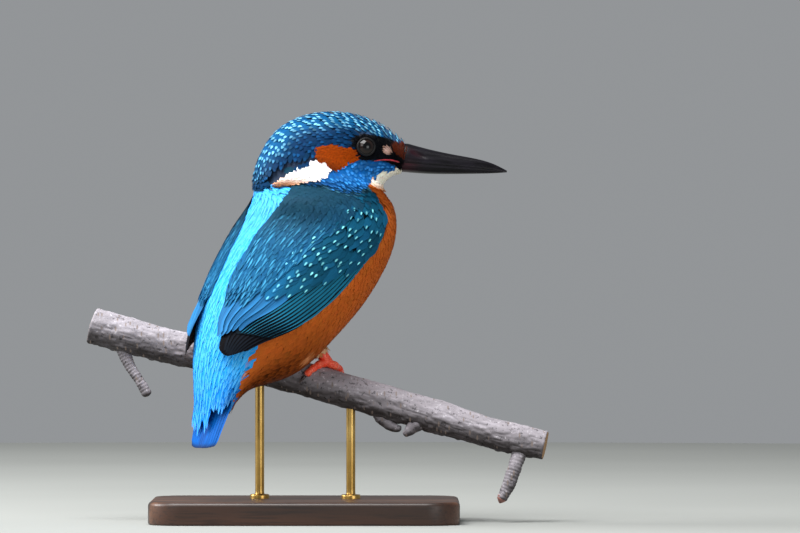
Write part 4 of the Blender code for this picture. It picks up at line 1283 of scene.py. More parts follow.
def lay_vanes(
    along, angle, half, steps, columns, height,
    blunt=0.3, round_tip=0.7, ragged=0.1, cup=0.07, seed=1, sign=1,
):
    """Vanes over the form, from their shafts' lines. The half width rises over the first
    part and falls to a blunt share at the tip. Side columns end earlier by the square of
    their distance from the shaft, plus a ragged share, and dip by the cup. Heights are over
    the form, one for each vane, row and column."""
    rng = np.random.default_rng(seed)
    count = len(along)
    steps, side = np.asarray(steps), np.linspace(-1, 1, columns)
    ahead, across = slopes(along, angle)
    per_along = np.maximum(np.linalg.norm(ahead, axis=-1), 0.25)[..., None]
    per_degree = np.maximum(np.linalg.norm(across, axis=-1), 0.03)[..., None]
    narrowed = 1 - (1 - blunt) * smooth(0.5, 1.02, steps) ** 1.4
    width = half[:, None] * ((0.4 + 0.6 * smooth(0, 0.4, steps)) * narrowed)
    cut = half[:, None] * (round_tip * side**2 + ragged * rng.uniform(0, 4, (count, columns)))
    place = along[..., None] + cut[:, None, :] * steps[None, :, None] ** 3 / per_along
    around = angle[..., None] + side * width[..., None] / per_degree
    out = normal(place, sign * around)
    height = height - cup * half[:, None, None] * side**2
    return form(place, sign * around) + height[..., None] * out, out


def vane_group(laid, steps, colour, mark, bake_root, bake_size):
    """One group of like vanes as closed shells: the outer face's grid, and the same grid
    without its border, moved in by the vane's thickness. The vane attribute is the distance
    from the shaft and from the tip in millimetres, and a random share. A vane's place for
    baking is a small patch at its root's place on the form's own unwrap."""
    points, out = laid
    count, rows, columns = points.shape[:3]
    inner = (points - VANE_THICK * out)[:, 1:-1, 1:-1].reshape(count, -1, 3)
    vertices = np.concatenate([points.reshape(count, -1, 3), inner], 1)
    grid = np.arange(rows * columns).reshape(rows, columns)
    under = grid.copy()
    under[1:-1, 1:-1] = rows * columns + np.arange((rows - 2) * (columns - 2)).reshape(rows - 2, -1)
    top, bottom = (
        np.stack([g[:-1, :-1], g[:-1, 1:], g[1:, 1:], g[1:, :-1]], -1).reshape(-1, 4)
        for g in (grid, under)
    )

    def spread(values):
        values = np.broadcast_to(values, (count, rows, columns, values.shape[-1]))
        inner = values[:, 1:-1, 1:-1].reshape(count, -1, values.shape[-1])
        return np.concatenate([values.reshape(count, rows * columns, -1), inner], 1)

    shaft = points[:, :, columns // 2]
    run = np.linalg.norm(np.diff(shaft, axis=1), axis=-1)
    from_tip = np.concatenate([np.cumsum(run[:, ::-1], 1)[:, ::-1], np.zeros((count, 1))], 1)
    half = np.linalg.norm(points[:, :, -1] - points[:, :, 0], axis=-1).max(1) / 2
    side = np.linspace(-1, 1, columns)
    luck = np.random.default_rng(7).uniform(0, 1, count)
    vane = np.broadcast_arrays(
        side * half[:, None, None], from_tip[..., None], luck[:, None, None]
    )
    share, across = np.meshgrid(np.asarray(steps), side, indexing="ij")
    patch = np.stack([0.5 * across, 0.5 - share], -1)
    return {
        "points": vertices,
        "faces": np.concatenate([top, bottom[:, ::-1]]),
        "vane": spread(np.stack(vane, -1)),
        "plumage": spread(colour),
        "mark": spread(mark),
        "bake": spread(bake_root[:, None, None] + bake_size * patch),
    }


def put_coat(name, groups, finish):
    """Joins groups of vanes to one piece, with its vane, plumage and mark attributes and
    its baking map."""
    faces, start = [], 0
    for group in groups:
        count, size = group["points"].shape[:2]
        offsets = start + np.arange(count) * size
        faces.append((group["faces"][None] + offsets[:, None, None]).reshape(-1, 4))
        start += count * size
    points, vane, plumage, mark, bake = (
        np.concatenate([group[key].reshape(-1, n) for group in groups])
        for key, n in (("points", 3), ("vane", 3), ("plumage", 3), ("mark", 3), ("bake", 2))
    )
    opaque = np.ones(start)
    values = {
        "vane": vane,
        "plumage": np.column_stack([plumage.clip(0, 1), opaque]),
        "mark": np.column_stack([mark.clip(0, 1), opaque]),
    }
    faces, bake = [np.concatenate(faces)], bake.clip(0.0005, 0.9995)
    coat = put_mesh(name, points, faces, finish, values, bake, sharp=60)
    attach(coat, "root")
    return coat


def bake_place(along, angle):
    """A root's place on the form's unwrap: around it, then along it from the tail's tip."""
    around = (np.asarray(angle) + 180) % 360 / 360
    return np.stack([0.01 + 0.98 * around, 0.01 + 0.98 * (np.asarray(along) + 22) / 166], -1)


def varied(colours, seed, light=0.10, hue=0.03):
    """Each vane's own colour: made lighter or darker, and each channel shifted, by chance."""
    rng = np.random.default_rng(seed)
    shift = 1 + rng.normal(0, light, (len(colours), 1)) + rng.normal(0, hue, (len(colours), 3))
    return (colours * shift.clip(0.5, 1.6)).clip(0, 1)


def feather_finish(
    name, mark_at=(0.0, 0.4), mark_half=(0.5, 0.3), edge=0.35,
    barb=(0.22, 2.2), contrast=0.22, rough=0.6, shaft=0.0,
):
    """Plumage: thousands of fine barbs, almost matt. Streaks as wide and long as a bunch of
    barbs run along each vane, coarser than real ones so that they show, and the mark is an
    oval of a second colour, placed from the shaft and the tip in millimetres."""
    made, tree, shader = start_material(name, Roughness=rough, Specular_IOR_Level=0.04)
    vane = add(tree, "Attribute", attribute_name="vane").outputs["Vector"]
    base = add(tree, "Attribute", attribute_name="plumage")
    second = add(tree, "Attribute", attribute_name="mark")
    moved = add(tree, "VectorMath", {0: vane, 1: (*mark_at, 0)}, operation="SUBTRACT")
    to_oval = {0: moved, 1: (1 / mark_half[0], 1 / mark_half[1], 0)}
    oval = add(tree, "VectorMath", to_oval, operation="MULTIPLY")
    away = add(tree, "VectorMath", {0: oval}, operation="LENGTH").outputs["Value"]
    fall = {0: away, 1: 1 + edge, 2: 1 - edge, 3: 0.0, 4: 1.0}
    soft = add(tree, "MapRange", fall, interpolation_type="SMOOTHSTEP")
    marked = add(tree, "Mix", {0: soft, 6: base, 7: second}, **MIX)
    stretched = {0: vane, 1: (1 / barb[0], 1 / barb[1], 53.0)}
    stretched = add(tree, "VectorMath", stretched, operation="MULTIPLY")
    bunches = {"Vector": stretched, "Scale": 1.0, "Detail": 3.0, "Roughness": 0.6}
    barbs = add(tree, "TexNoise", bunches)
    light = {0: barbs, 1: 0.25, 2: 0.75, 3: 1 - contrast, 4: 1 + contrast}
    shade = add(tree, "MapRange", light)
    colour = add(tree, "Mix", {0: 1.0, 6: marked, 7: shade}, **TIMES)
    if shaft:
        side = add(tree, "SeparateXYZ", {0: vane}).outputs["X"]
        side = add(tree, "Math", {0: side}, operation="ABSOLUTE")
        quill = add(tree, "MapRange", {0: side, 1: 0.07, 2: 0.16, 3: 1 - shaft, 4: 1.0})
        colour = add(tree, "Mix", {0: 1.0, 6: colour, 7: quill}, **TIMES)
    bump = add(tree, "Bump", {"Height": barbs, "Strength": 0.2, "Distance": 0.00005})
    wire(shader, Base_Color=colour, Normal=bump)
    return made


def body_coat(
    roots, kind, length, half, root_height, tip_height, mark, seed,
    bake_size=0.003, dark_base_and_shade=0.0, ruffle=0.03, yaw=5.0, light=0.1, **shape,
):
    """A group of vanes at roots on the form, coloured by the marking near their tips. They
    rise from the root's height to the tip's, each a little more or less by chance."""
    steps, columns = kind
    rng = np.random.default_rng(seed)
    length = length * rng.normal(1, 0.08, len(roots)).clip(0.75, 1.25)
    half = half * rng.normal(1, 0.08, len(roots)).clip(0.8, 1.2)
    along, angle = shafts(roots, length, rng.normal(0, yaw, len(roots)), steps)
    share = np.asarray(steps)
    tip_height = np.broadcast_to(tip_height, len(roots)) + rng.normal(0, ruffle, len(roots))
    root_height = np.reshape(root_height, (-1, 1))
    height = root_height + (tip_height[:, None] - root_height) * share**0.8
    laid = lay_vanes(along, angle, half, steps, columns, height[..., None], seed=seed + 2, **shape)
    colour = varied(marking(along[:, -2], angle[:, -2]), seed + 3, light)
    second = mark(along[:, -2], angle[:, -2], colour)
    # Each vane darkens towards its root: partly the dark grey down at a feather's base, partly
    # painted shade under the vanes that overlap it.
    shade = 1 - dark_base_and_shade * (1 - share) ** 1.5
    colour = colour[:, None, None] * shade[None, :, None, None]
    return vane_group(laid, steps, colour, second[:, None, None], bake_place(*roots.T), bake_size)


def under_wing(along, angle, margin):
    """Whether places lie under a folded wing by more than a margin in degrees."""
    side = from_back(angle)
    upper = np.interp(along, WING_ALONG, WING_UPPER_EDGE)
    lower = np.interp(along, WING_ALONG, WING_LOWER_EDGE)
    return (side > upper + margin) & (side < lower - margin) & (along > 38) & (along < 103)


def off_feet(group):
    """Leaves out the vanes that would lie in the room of the toes."""
    away, radius = from_branch(group["points"])
    x = group["points"][..., 0]
    crowded = (away < radius + BARE_ROOM) & (x > BARE_FROM) & (x < BARE_TO)
    keep = ~crowded.any(1)
    return {key: value if key == "faces" else value[keep] for key, value in group.items()}


def toward(code, share):
    """A mark's colours: the vanes' own ones, mixed with a hex colour by that share."""
    return lambda along, angle, colour: shifted(colour, code, share)


breast_finish = feather_finish(
    "orange body feathers", (0, 0.0), (2.0, 1.6), 0.6, (0.22, 2.0), 0.16, rough=0.7
)
for name, low, high, step, length, seed in (
    ("breast", 52.0, 110.0, (1.6, 1.5), 6.2, 100),
    ("belly", -1.0, 52.0, (1.7, 1.6), 6.8, 140),
):
    roots = staggered(low, high, *step, seed)
    reach = length * (0.55 + 0.45 * smooth(108, 88, roots[:, 0]))
    ahead = roots[:, 0] - 0.7 * reach
    keep = region(ahead, roots[:, 1]) == REGIONS["orange"]
    keep &= ~under_wing(roots[:, 0], roots[:, 1], 5) | ~under_wing(ahead, roots[:, 1], 1.5)
    keep &= roots[:, 0] - 1.05 * reach > np.interp(np.abs(roots[:, 1]), *ORANGE_ENDS)
    roots, reach = roots[keep], reach[keep]
    tips = -0.08 - 0.6 * under_wing(roots[:, 0] - 0.7 * reach, roots[:, 1], -5)
    group = body_coat(
        roots, SOFT, reach, np.full(len(roots), 1.5), tips - 0.42, tips,
        toward(BREAST_TIP, 0.3), seed, ragged=0.07, blunt=0.4, round_tip=0.8, cup=0.04,
        dark_base_and_shade=0.06, ruffle=0.008, yaw=3.5, light=0.045,
    )
    put_coat(f"{name}_feathers", [off_feet(group)], breast_finish)


# ---------------------------------------------------------------- thighs
# Short pale down over each leg's upper part: vanes on a cone around the leg that start
# inside the belly and end over the bare ankle.
THIGH_PALE, THIGH_BUFF = "#e2b890", "#c4844e"
THIGH_ROWS, THIGH_IN_ROW = (2.0, 3.0, 4.1), 15  # starts below the knee in millimetres
THIGH_LENGTH, THIGH_HALF, THIGH_RADIUS, THIGH_SPREAD = 3.4, 0.7, 2.2, 0.7
THIGH_AT = (31.0, 124.0)  # the leg's place on the form


def thigh_vanes(side, seed):
    """Vanes on a cone: around the leg's axis by equal steps, each row shifted by half a
    step, and away from it by a radius that grows a little towards the tips."""
    rng = np.random.default_rng(seed)
    knee = on_branch(FOOT_X[side], 0.0, TOE_RADIUS + TOE_GAP + PAD_RAISED) + np.array(KNEE)
    axis = unit(np.array(ANKLE) - np.array(KNEE))
    first = unit(np.cross(axis, (0.0, 1.0, 0.0)))
    second = np.cross(axis, first)
    steps, columns = SOFT
    steps, across = np.asarray(steps), np.linspace(-1, 1, columns)
    row = np.repeat(THIGH_ROWS, THIGH_IN_ROW)
    place = np.tile(np.arange(THIGH_IN_ROW), len(THIGH_ROWS))
    count = len(row)
    place = place + 0.5 * (row == THIGH_ROWS[1]) + rng.uniform(-0.2, 0.2, count)
    turn = 2 * np.pi * place / THIGH_IN_ROW
    length = THIGH_LENGTH * rng.uniform(0.85, 1.1, count)
    width = THIGH_HALF * (1 - 0.5 * smooth(0.5, 1.0, steps))
    cut = 0.5 * across**2 + rng.uniform(0, 0.35, (count, columns))
    down = row[:, None, None] + length[:, None, None] * steps[:, None]
    down = down - cut[:, None] * steps[:, None] ** 3
    away = THIGH_RADIUS + (THIGH_SPREAD * steps)[:, None] - 0.06 * across**2
    away = away + 0.03 * row[:, None, None]
    around = turn[:, None, None] + across * (width / THIGH_RADIUS)[:, None]
    out = np.cos(around)[..., None] * first + np.sin(around)[..., None] * second
    points = knee + down[..., None] * axis + away[..., None] * out
    pale = rng.uniform(0, 1, (count, 1)) < 0.6
    colour = varied(np.where(pale, linear(THIGH_PALE), linear(THIGH_BUFF)), seed, 0.06)
    colour = colour[:, None, None]
    along, angle = THIGH_AT
    root = bake_place(along + np.cos(turn), SIDES[side] * (angle + 5 * np.sin(turn)))
    return vane_group((points, out), steps, colour, colour * 0.9, root, 0.003)


groups = [thigh_vanes("right", 170), thigh_vanes("left", 171)]
put_coat("thigh_feathers", groups, breast_finish)


# ---------------------------------------------------------------- tail
# Twelve stiff feathers, closed to a narrow fan, deep azure with dark shafts and dusky tips.
TAIL_BLUE, TAIL_EDGE, TAIL_DUSK = "#023f84", "#0a5cb0", "#10151f"
TAIL_VANE = (tuple(np.linspace(0, 1, 16)), 9)
TAIL_ROOT_UP = 9.0  # the quills start this far inside the body
# A vane's half width, the fan's at its root, and how much less that is at its tip.
TAIL_HALF, TAIL_FAN, TAIL_CLOSED = 2.4, 7.6, 2.3


def quill_group(laid, steps, colour, mark, strip):
    """Long vanes, each with a baking strip of its own, side by side on the map."""
    count = len(laid[0])
    low, wide = strip
    place = np.stack([low + wide * (np.arange(count) + 0.5) / count, np.full(count, 0.5)], -1)
    return vane_group(laid, steps, colour, mark, place, np.array([0.8 * wide / count, 0.94]))


def tail_vanes():
    """Vanes in the tail's plane: the shafts fan out from the root and close again towards
    the tip, the outer ones shorter and lower, and each vane cups over its shaft."""
    order = np.arange(5.5, 0, -1)
    order = np.stack([-order, order], -1).ravel()  # the outermost pair first
    steps, columns = TAIL_VANE
    share, side = np.meshgrid(steps, np.linspace(-1, 1, columns), indexing="ij")
    root = form(0.0, np.array([0.0, 180.0])).mean(0)
    back, belly = form(-TAIL_LENGTH, 0.0), form(-TAIL_LENGTH, 180.0)
    axis = unit((back + belly) / 2 - root)
    across = np.array([*heading(BODY_HEADING - 90), 0.0])
    out = unit(np.cross(axis, across))
    out = out if out @ (back - belly) > 0 else -out
    fan = order[:, None, None] / 5.5
    length = TAIL_ROOT_UP + TAIL_LENGTH - 1.0 * np.abs(fan) ** 2.4
    down = length * share - TAIL_ROOT_UP - 0.9 * side**4 * smooth(0.75, 1.0, share)
    half = TAIL_HALF * (0.5 + 0.5 * smooth(0, 0.3, share))
    half = half * (1 - 0.3 * smooth(0.88, 1.02, share) ** 2)
    sideways = fan * (TAIL_FAN - TAIL_CLOSED * smooth(0.3, 1.0, share)) + half * side
    height = 1.1 - 1.2 * np.abs(fan) ** 1.3 - 0.22 * side**2 - 0.05 * np.sign(fan) * side
    height = height + 0.7 * (1 - share)
    points = root + down[..., None] * axis + sideways[..., None] * across + height[..., None] * out
    return (points, np.broadcast_to(out, points.shape)), steps, share, side, fan


laid, steps, share, side, fan = tail_vanes()
blue = blend_colours(TAIL_BLUE, TAIL_EDGE, 0.1 + 0.75 * np.abs(side) ** 3 + 0 * fan)
blue = shifted(blue, TAIL_DUSK, 0.85 * smooth(0.96, 1.0, share))
blue = blue * np.random.default_rng(31).normal(1, 0.09, (12, 1, 1, 1))
tail_finish = feather_finish(
    "azure tail feathers", (0, 5), (0.1, 50.0), 0.5, (0.3, 5.0), 0.16, rough=0.5, shaft=0.4
)
tail = quill_group(laid, steps, blue, blue * 0.8, (0.0, 1.0))
put_coat("tail_feathers", [tail], tail_finish)


# ---------------------------------------------------------------- back and rump
# A stripe of long silky azure feathers runs from the mantle over the rump to the tail,
# the last of them in long points over the tail's root.
BACK_STREAK = "#8fe4ff"
SILKY = ((0.0, 0.3, 0.55, 0.75, 0.88, 1.0), 5)
# How far down the tail the feathers' tips may reach, by the angle from the back's midline.
COVERT_ENDS = (
    (-110, -60, -30, -8, 12, 30, 60, 90, 110),
    (-1.0, -6.5, -10.5, -12.0, -8.8, -6.2, -3.8, -3.0, -2.5),
)

azure_finish = feather_finish(
    "azure back feathers", (0, 1.8), (0.6, 3.0), 0.8, (0.3, 6.0), 0.10, rough=0.5
)
roots = staggered(1.5, 99.5, 2.3, 1.9, 200, 0.3)
length = np.interp(roots[:, 0], (0, 8, 16, 30, 90, 99), (13.0, 14.0, 13.0, 12.0, 9.5, 7.0))
ahead = roots[:, 0] - 0.7 * length
keep = (region(ahead, roots[:, 1]) == REGIONS["azure"]) & ~under_wing(ahead, roots[:, 1], 7)
keep &= roots[:, 0] - length * 1.03 > np.interp(roots[:, 1], *COVERT_ENDS)
roots, length = roots[keep], length[keep]
group = body_coat(
    roots, SILKY, length, np.full(len(roots), 2.1), -0.5, 0.0, toward(BACK_STREAK, 0.22), 210,
    ragged=0.03, blunt=0.25, round_tip=1.8, cup=0.02,
    dark_base_and_shade=0.05, ruffle=0.015, yaw=2.5, light=0.05,
)
put_coat("back_feathers", [group], azure_finish)


# ---------------------------------------------------------------- wings
# Each folded wing lies on the body: black-brown flight feathers, the inner ones edged with
# teal, under five blue tertials, then rows of teal coverts with a pale spot at each tip, and
# long dark scapulars that lie over the wing's upper part and the shoulder.
QUILL = (tuple(np.linspace(0, 1, 26)), 9)
COVERT = ((0.0, 0.3, 0.55, 0.75, 0.88, 0.95, 1.0), 5)
# How deep the wing lies in the coat, its thickness at the edge and in the middle, and its
# tip's lift, which starts at a share of the way down.
WING_DEPTH, WING_EDGE, WING_THICK, TIP_LIFT, LIFT_START = 1.1, 0.7, 1.2, 3.4, 0.62
TEAL_DEEP, TEAL_MID, TEAL_BLUE = "#0c4058", "#135474", "#1a6698"
SCAPULAR_DARK, SCAPULAR_BLUE, STREAK = "#183b4e", "#135682", "#4aa6d0"
SPOT_PALE, SPOT_BLUE = "#86e6ee", "#62bdf6"
EDGE_TEAL, EDGE_BLUE, INNER_DARK = "#1a6a88", "#266da2", "#0a1820"
TERTIAL_DARK = "#1f5a88"
PRIMARY_DARK, PRIMARY_EDGE = "#08070b", "#11161e"
# The line on which the greater coverts end, and the one on which the scapulars do: shares
# of the way from the bend to the tip, by shares from the wing's upper edge to its lower.
SPOT_ROW = (
    (0.1, 0.3, 0.46, 0.6, 0.72, 0.78, 0.85, 0.92, 1.0),
    (0.74, 0.72, 0.70, 0.655, 0.605, 0.567, 0.51, 0.465, 0.42),
)
SCAPULAR_EDGE = (
    (-0.12, 0.0, 0.1, 0.2, 0.29, 0.4, 0.5, 0.6, 0.68, 0.74, 0.78),
    (1.0, 0.9, 0.78, 0.66, 0.57, 0.55, 0.52, 0.48, 0.42, 0.34, 0.12),
)
WING_ACROSS = 38.0  # the folded wing's width in millimetres, over its curve


def wing_edges(along):
    """Angles of the wing's upper and lower edges at a distance along the spine."""
    along = np.clip(along, WING_TIP - 1, WING_BEND + 1.5)
    edges = (WING_UPPER_EDGE, WING_LOWER_EDGE)
    return [spline(WING_ALONG, edge, along)[..., 0] for edge in edges]


def wing_place(share, across):
    """A place on the folded wing, from the bend (0) to the tip (1) and from its upper edge
    (0) to its lower one (1), as a place on the form."""
    along = WING_BEND - WING_LENGTH * share
    upper, lower = wing_edges(along)
    return along, upper + across * (lower - upper)


def wing_top(along, angle):
    """Height of the folded wing's outer face over the form: its lifted underside, its edge's
    thickness, and a crown that is the root of two sines, across it and along it."""
    upper, lower = wing_edges(along)
    share = (WING_BEND - along) / WING_LENGTH
    across = np.clip((np.abs(angle) - upper) / (lower - upper), 0, 1)
    inner = np.clip(share, 0, 1)
    crown = np.sqrt(np.clip(np.sin(np.pi * across) * np.sin(np.pi * inner), 0, 1))
    under = TIP_LIFT * smooth(LIFT_START, 1.0, inner) - WING_DEPTH
    top = under + WING_EDGE + (WING_THICK - WING_EDGE * inner) * crown
    return np.maximum(top, 0.2 * smooth(-0.08, 0.04, share))


def wing_lines(share_root, share_tip, across_root, across_tip, steps):
    """Shaft lines down the wing, evenly spaced from root to tip."""
    steps = np.asarray(steps)[None]
    share = share_root[:, None] + (share_tip - share_root)[:, None] * steps
    across = across_root[:, None] + (across_tip - across_root)[:, None] * steps
    return wing_place(share, across)


def wing_vanes(lines, half, kind, over_root, over_tip, tilt, sign, seed, **shape):
    """Vanes along lines on the wing, over its outer face by a height that changes from root
    to tip, and sunk under the head's plumage ahead of the bend. Their lower edges stand
    proud by the tilt, so that each vane lies on the next lower one."""
    along, angle = lines
    steps, columns = kind
    side = np.linspace(-1, 1, columns)
    over = over_root + (np.reshape(over_tip, (-1, 1)) - over_root) * np.asarray(steps)
    sunk = 0.9 * smooth(WING_BEND + 1.5, WING_BEND + 6.0, along)
    height = (wing_top(along, angle) - sunk + over)[..., None] + tilt * side
    return lay_vanes(along, angle, half, steps, columns, height, seed=seed, sign=sign, **shape)


flight_finish = feather_finish(
    "flight feathers", (2.4, 20), (1.3, 400.0), 0.15, (0.25, 4.0), 0.2, rough=0.5
)
tertial_finish = feather_finish(
    "tertial feathers", (3.3, 10), (1.9, 200.0), 0.5, (0.3, 5.0), 0.2, rough=0.55, shaft=0.45
)
covert_finish = feather_finish(
    "spotted wing coverts", (0.0, 1.0), (0.5, 0.75), 0.35, (0.25, 2.5), 0.2, rough=0.6
)
scapular_finish = feather_finish(
    "scapular feathers", (0.0, 2.4), (0.4, 2.8), 0.9, (0.25, 5.0), 0.12, rough=0.6
)


def flight_group(roots, tips, half, over, colours, strip, sign, seed, tilt, **shape):
    """One set of flight feathers between their roots' and tips' places on the wing, with
    dark vanes and coloured outer edges."""
    count = len(tips[1])
    across = np.linspace(*roots[1], count)
    lines = wing_lines(np.full(count, roots[0]), tips[0], across, tips[1], QUILL[0])
    half = np.full(count, half)
    laid = wing_vanes(lines, half, QUILL, *over, tilt, sign, seed, cup=0.02, **shape)
    rng = np.random.default_rng(seed)
    inner, edge = (linear(code) * rng.normal(1, 0.07, (count, 1, 1, 1)) for code in colours)
    return quill_group(laid, QUILL[0], inner, edge, strip)


def wing_group(laid, kind, colour, mark, roots, sign):
    """A group of vanes on the wing, whose places for baking are at their roots."""
    along, angle = wing_place(*roots)
    place = bake_place(along, sign * angle)
    return vane_group(laid, kind[0], colour[:, None, None], mark[:, None, None], place, 0.009)


def covert_groups(sign, seed):
    """Rows of coverts up the wing from the greater ones, whose tips lie on the line of large
    spots, to the bend; they grow smaller and closer together on the way."""
    rng = np.random.default_rng(seed)
    groups = []
    rows = [(0.0, 15.0, 2.7, 3.6), (4.2, 10.0, 2.4, 3.4)]
    rows += [(4.2 + 3.3 * k, 6.8 - 0.12 * k, 2.1 - 0.04 * k, 3.1 - 0.07 * k) for k in range(1, 17)]
    for k, (back, length, half, step) in enumerate(rows):
        across = np.arange(0.1, 1.0, step / WING_ACROSS) + 0.5 * (k % 2) * step / WING_ACROSS
        across = across + rng.uniform(-0.016, 0.016, len(across))
        tip = np.interp(across, *SPOT_ROW) - back / WING_LENGTH
        root = tip - length / WING_LENGTH
        keep = (tip > -0.02) & (across > np.interp(tip, *SCAPULAR_EDGE) - 0.15)
        keep &= (across > 0.4) & (across < 0.985)
        across, tip, root = across[keep], tip[keep], root[keep]
        if not len(across):
            continue
        tip = tip + rng.normal(0, 0.009, len(tip))
        lines = wing_lines(root, tip, across - 0.01, across, COVERT[0])
        laid = wing_vanes(
            lines, half * rng.normal(1, 0.05, len(across)), COVERT, -0.2, 0.22 + 0.012 * k, 0.04,
            sign, seed + k, blunt=0.45, round_tip=0.6, ragged=0.03, cup=0.04,
        )
        colour = blend_colours(TEAL_DEEP, TEAL_MID, rng.uniform(0, 1, len(across)))
        bluer = smooth(0.66, 0.36, across) * smooth(0.3, 0.55, tip)
        colour = shifted(colour, TEAL_BLUE, bluer)
        bright = rng.uniform(0.6, 1.1, (len(across), 1))
        spot = blend_colours(SPOT_PALE, SPOT_BLUE, bluer) * bright
        shown = (tip > 0.12) & (across < 0.96)
        shown = shown * rng.choice((0.0, 0.5, 0.8, 1.0), len(across), p=(0.14, 0.16, 0.3, 0.4))
        spot = colour + (spot - colour) * shown[:, None]
        colour = varied(colour, seed + k, 0.06, 0.02)
        groups.append(wing_group(laid, COVERT, colour, spot, (root, across), sign))
    return groups


def scapular_group(sign, seed):
    """Long feathers in rows over the wing's upper part, down to the coverts' spots, and
    shorter ones over the shoulder up to the head's plumage."""
    rng = np.random.default_rng(seed)
    share, across = [], []
    for k, place in enumerate(np.arange(-0.07, 0.78, 0.03)):
        span = np.interp(place, *SCAPULAR_EDGE)
        count = max(int(span * WING_ACROSS / 2.0), 2)
        row = np.arange(count) + 0.5 * (k % 2) + rng.uniform(-0.35, 0.35, count)
        row = row / count * span
        share.append(place + rng.uniform(-0.02, 0.02, count))
        across.append(row.clip(0.045, 1.0))
    share, across = np.concatenate(share), np.concatenate(across)
    length = np.interp(share, (-0.07, 0.1, 0.4, 0.7), (5.0, 9.0, 12.5, 13.5))
    length = length * rng.normal(1, 0.06, len(share))
    half = np.interp(share, (-0.07, 0.1), (2.1, 2.0)) * rng.normal(1, 0.06, len(share))
    root = share - length / WING_LENGTH
    lines = wing_lines(root, share, across - 0.015, across, SILKY[0])
    tips = 0.34 - 0.28 * smooth(0.66, 0.76, share) - 0.18 * smooth(0.2, 0.0, share)
    laid = wing_vanes(
        lines, half, SILKY, -0.12, tips, 0.02, sign, seed,
        blunt=0.4, round_tip=1.3, ragged=0.03, cup=0.02,
    )
    bluer = 0.75 * smooth(0.12, 0.55, share)
    bluer = bluer + 0.3 * smooth(0.3, 0.62, across) * smooth(0.0, 0.25, share)
    colour = varied(blend_colours(SCAPULAR_DARK, SCAPULAR_BLUE, bluer), seed + 2, 0.05, 0.015)
    strength = smooth(0.12, 0.4, share) * rng.uniform(0.0, 0.8, len(share)) ** 1.6
    streak = shifted(colour, STREAK, strength)
    return wing_group(laid, SILKY, colour, streak, (root, across), sign)


for name, sign, seed in (("right", 1, 300), ("left", -1, 400)):
    across = np.linspace(0.24, 0.985, 9)
    ends = 0.997 - 0.03 * ((across - 0.5) / 0.4) ** 2
    primaries = flight_group(
        (0.35, (0.80, 0.97)), (ends, across), 2.1, (-0.9, -0.45),
        (PRIMARY_DARK, PRIMARY_EDGE), (0.0, 0.4), sign, seed, 0.10,
        blunt=0.6, round_tip=0.5, ragged=0.01,
    )
    across = np.linspace(0.53, 0.985, 9)
    ends = np.interp(across, (0.5, 0.9, 1.0), (0.89, 0.862, 0.845))
    secondaries = flight_group(
        (0.18, (0.90, 0.985)), (ends, across), 2.1, (-0.8, -0.2),
        (INNER_DARK, EDGE_TEAL), (0.4, 0.6), sign, seed + 10, 0.2,
        blunt=0.75, round_tip=0.9, ragged=0.01,
    )
    across, ends = np.linspace(0.53, 0.11, 5), np.array([0.872, 0.885, 0.905, 0.92, 0.925])
    tertials = flight_group(
        (0.30, (0.68, 0.10)), (ends, across), 3.0, (-1.0, 0.1),
        (TERTIAL_DARK, EDGE_BLUE), (0.0, 1.0), sign, seed + 20, 0.2,
        blunt=0.35, round_tip=0.8, ragged=0.01,
    )
    quills = [primaries, secondaries]
    put_coat(f"flight_feathers_{name}", quills, flight_finish)
    put_coat(f"tertials_{name}", [tertials], tertial_finish)
    coverts = covert_groups(sign, seed + 30)
    put_coat(f"wing_coverts_{name}", coverts, covert_finish)
    scapulars = scapular_group(sign, seed + 60)
    put_coat(f"scapulars_{name}", [scapulars], scapular_finish)


# ---------------------------------------------------------------- head
# Short dense feathers: dark blue on the crown and nape, each with a bright bar at its tip,
# orange behind the eye, a white and buff patch on the neck's side, a blue stripe below the
# cheek, and a black mask with a rufous and a pale spot before the eye.
BAR_TOP, BAR_SIDE, BAR_NAPE, BAR_MALAR = "#80cef0", "#0b4474", "#3a8fc6", "#368cdf"


def head_mark(along, angle, colour):
    """The tip bar's colour: brightest on the crown, bluer down the sides and on the nape;
    elsewhere a little lighter than the feather."""
    side = from_back(angle)
    number = region(along, angle)
    bar_colour = blend_colours(BAR_TOP, BAR_NAPE, smooth(114, 102, along) * 0.6)
    bar_colour = shifted(bar_colour, BAR_SIDE, dark_band(along, side))
    luck = np.random.default_rng(9).uniform(0.3, 1.05, (len(along), 1))
    luck = luck * (smooth(3, 9, from_eye(along, angle)) * smooth(86, 101, along))[:, None]
    found = np.where((number == REGIONS["crown"])[:, None], bar_colour * luck, colour * 1.12)
    return np.where((number == REGIONS["malar"])[:, None], linear(BAR_MALAR) * luck, found)


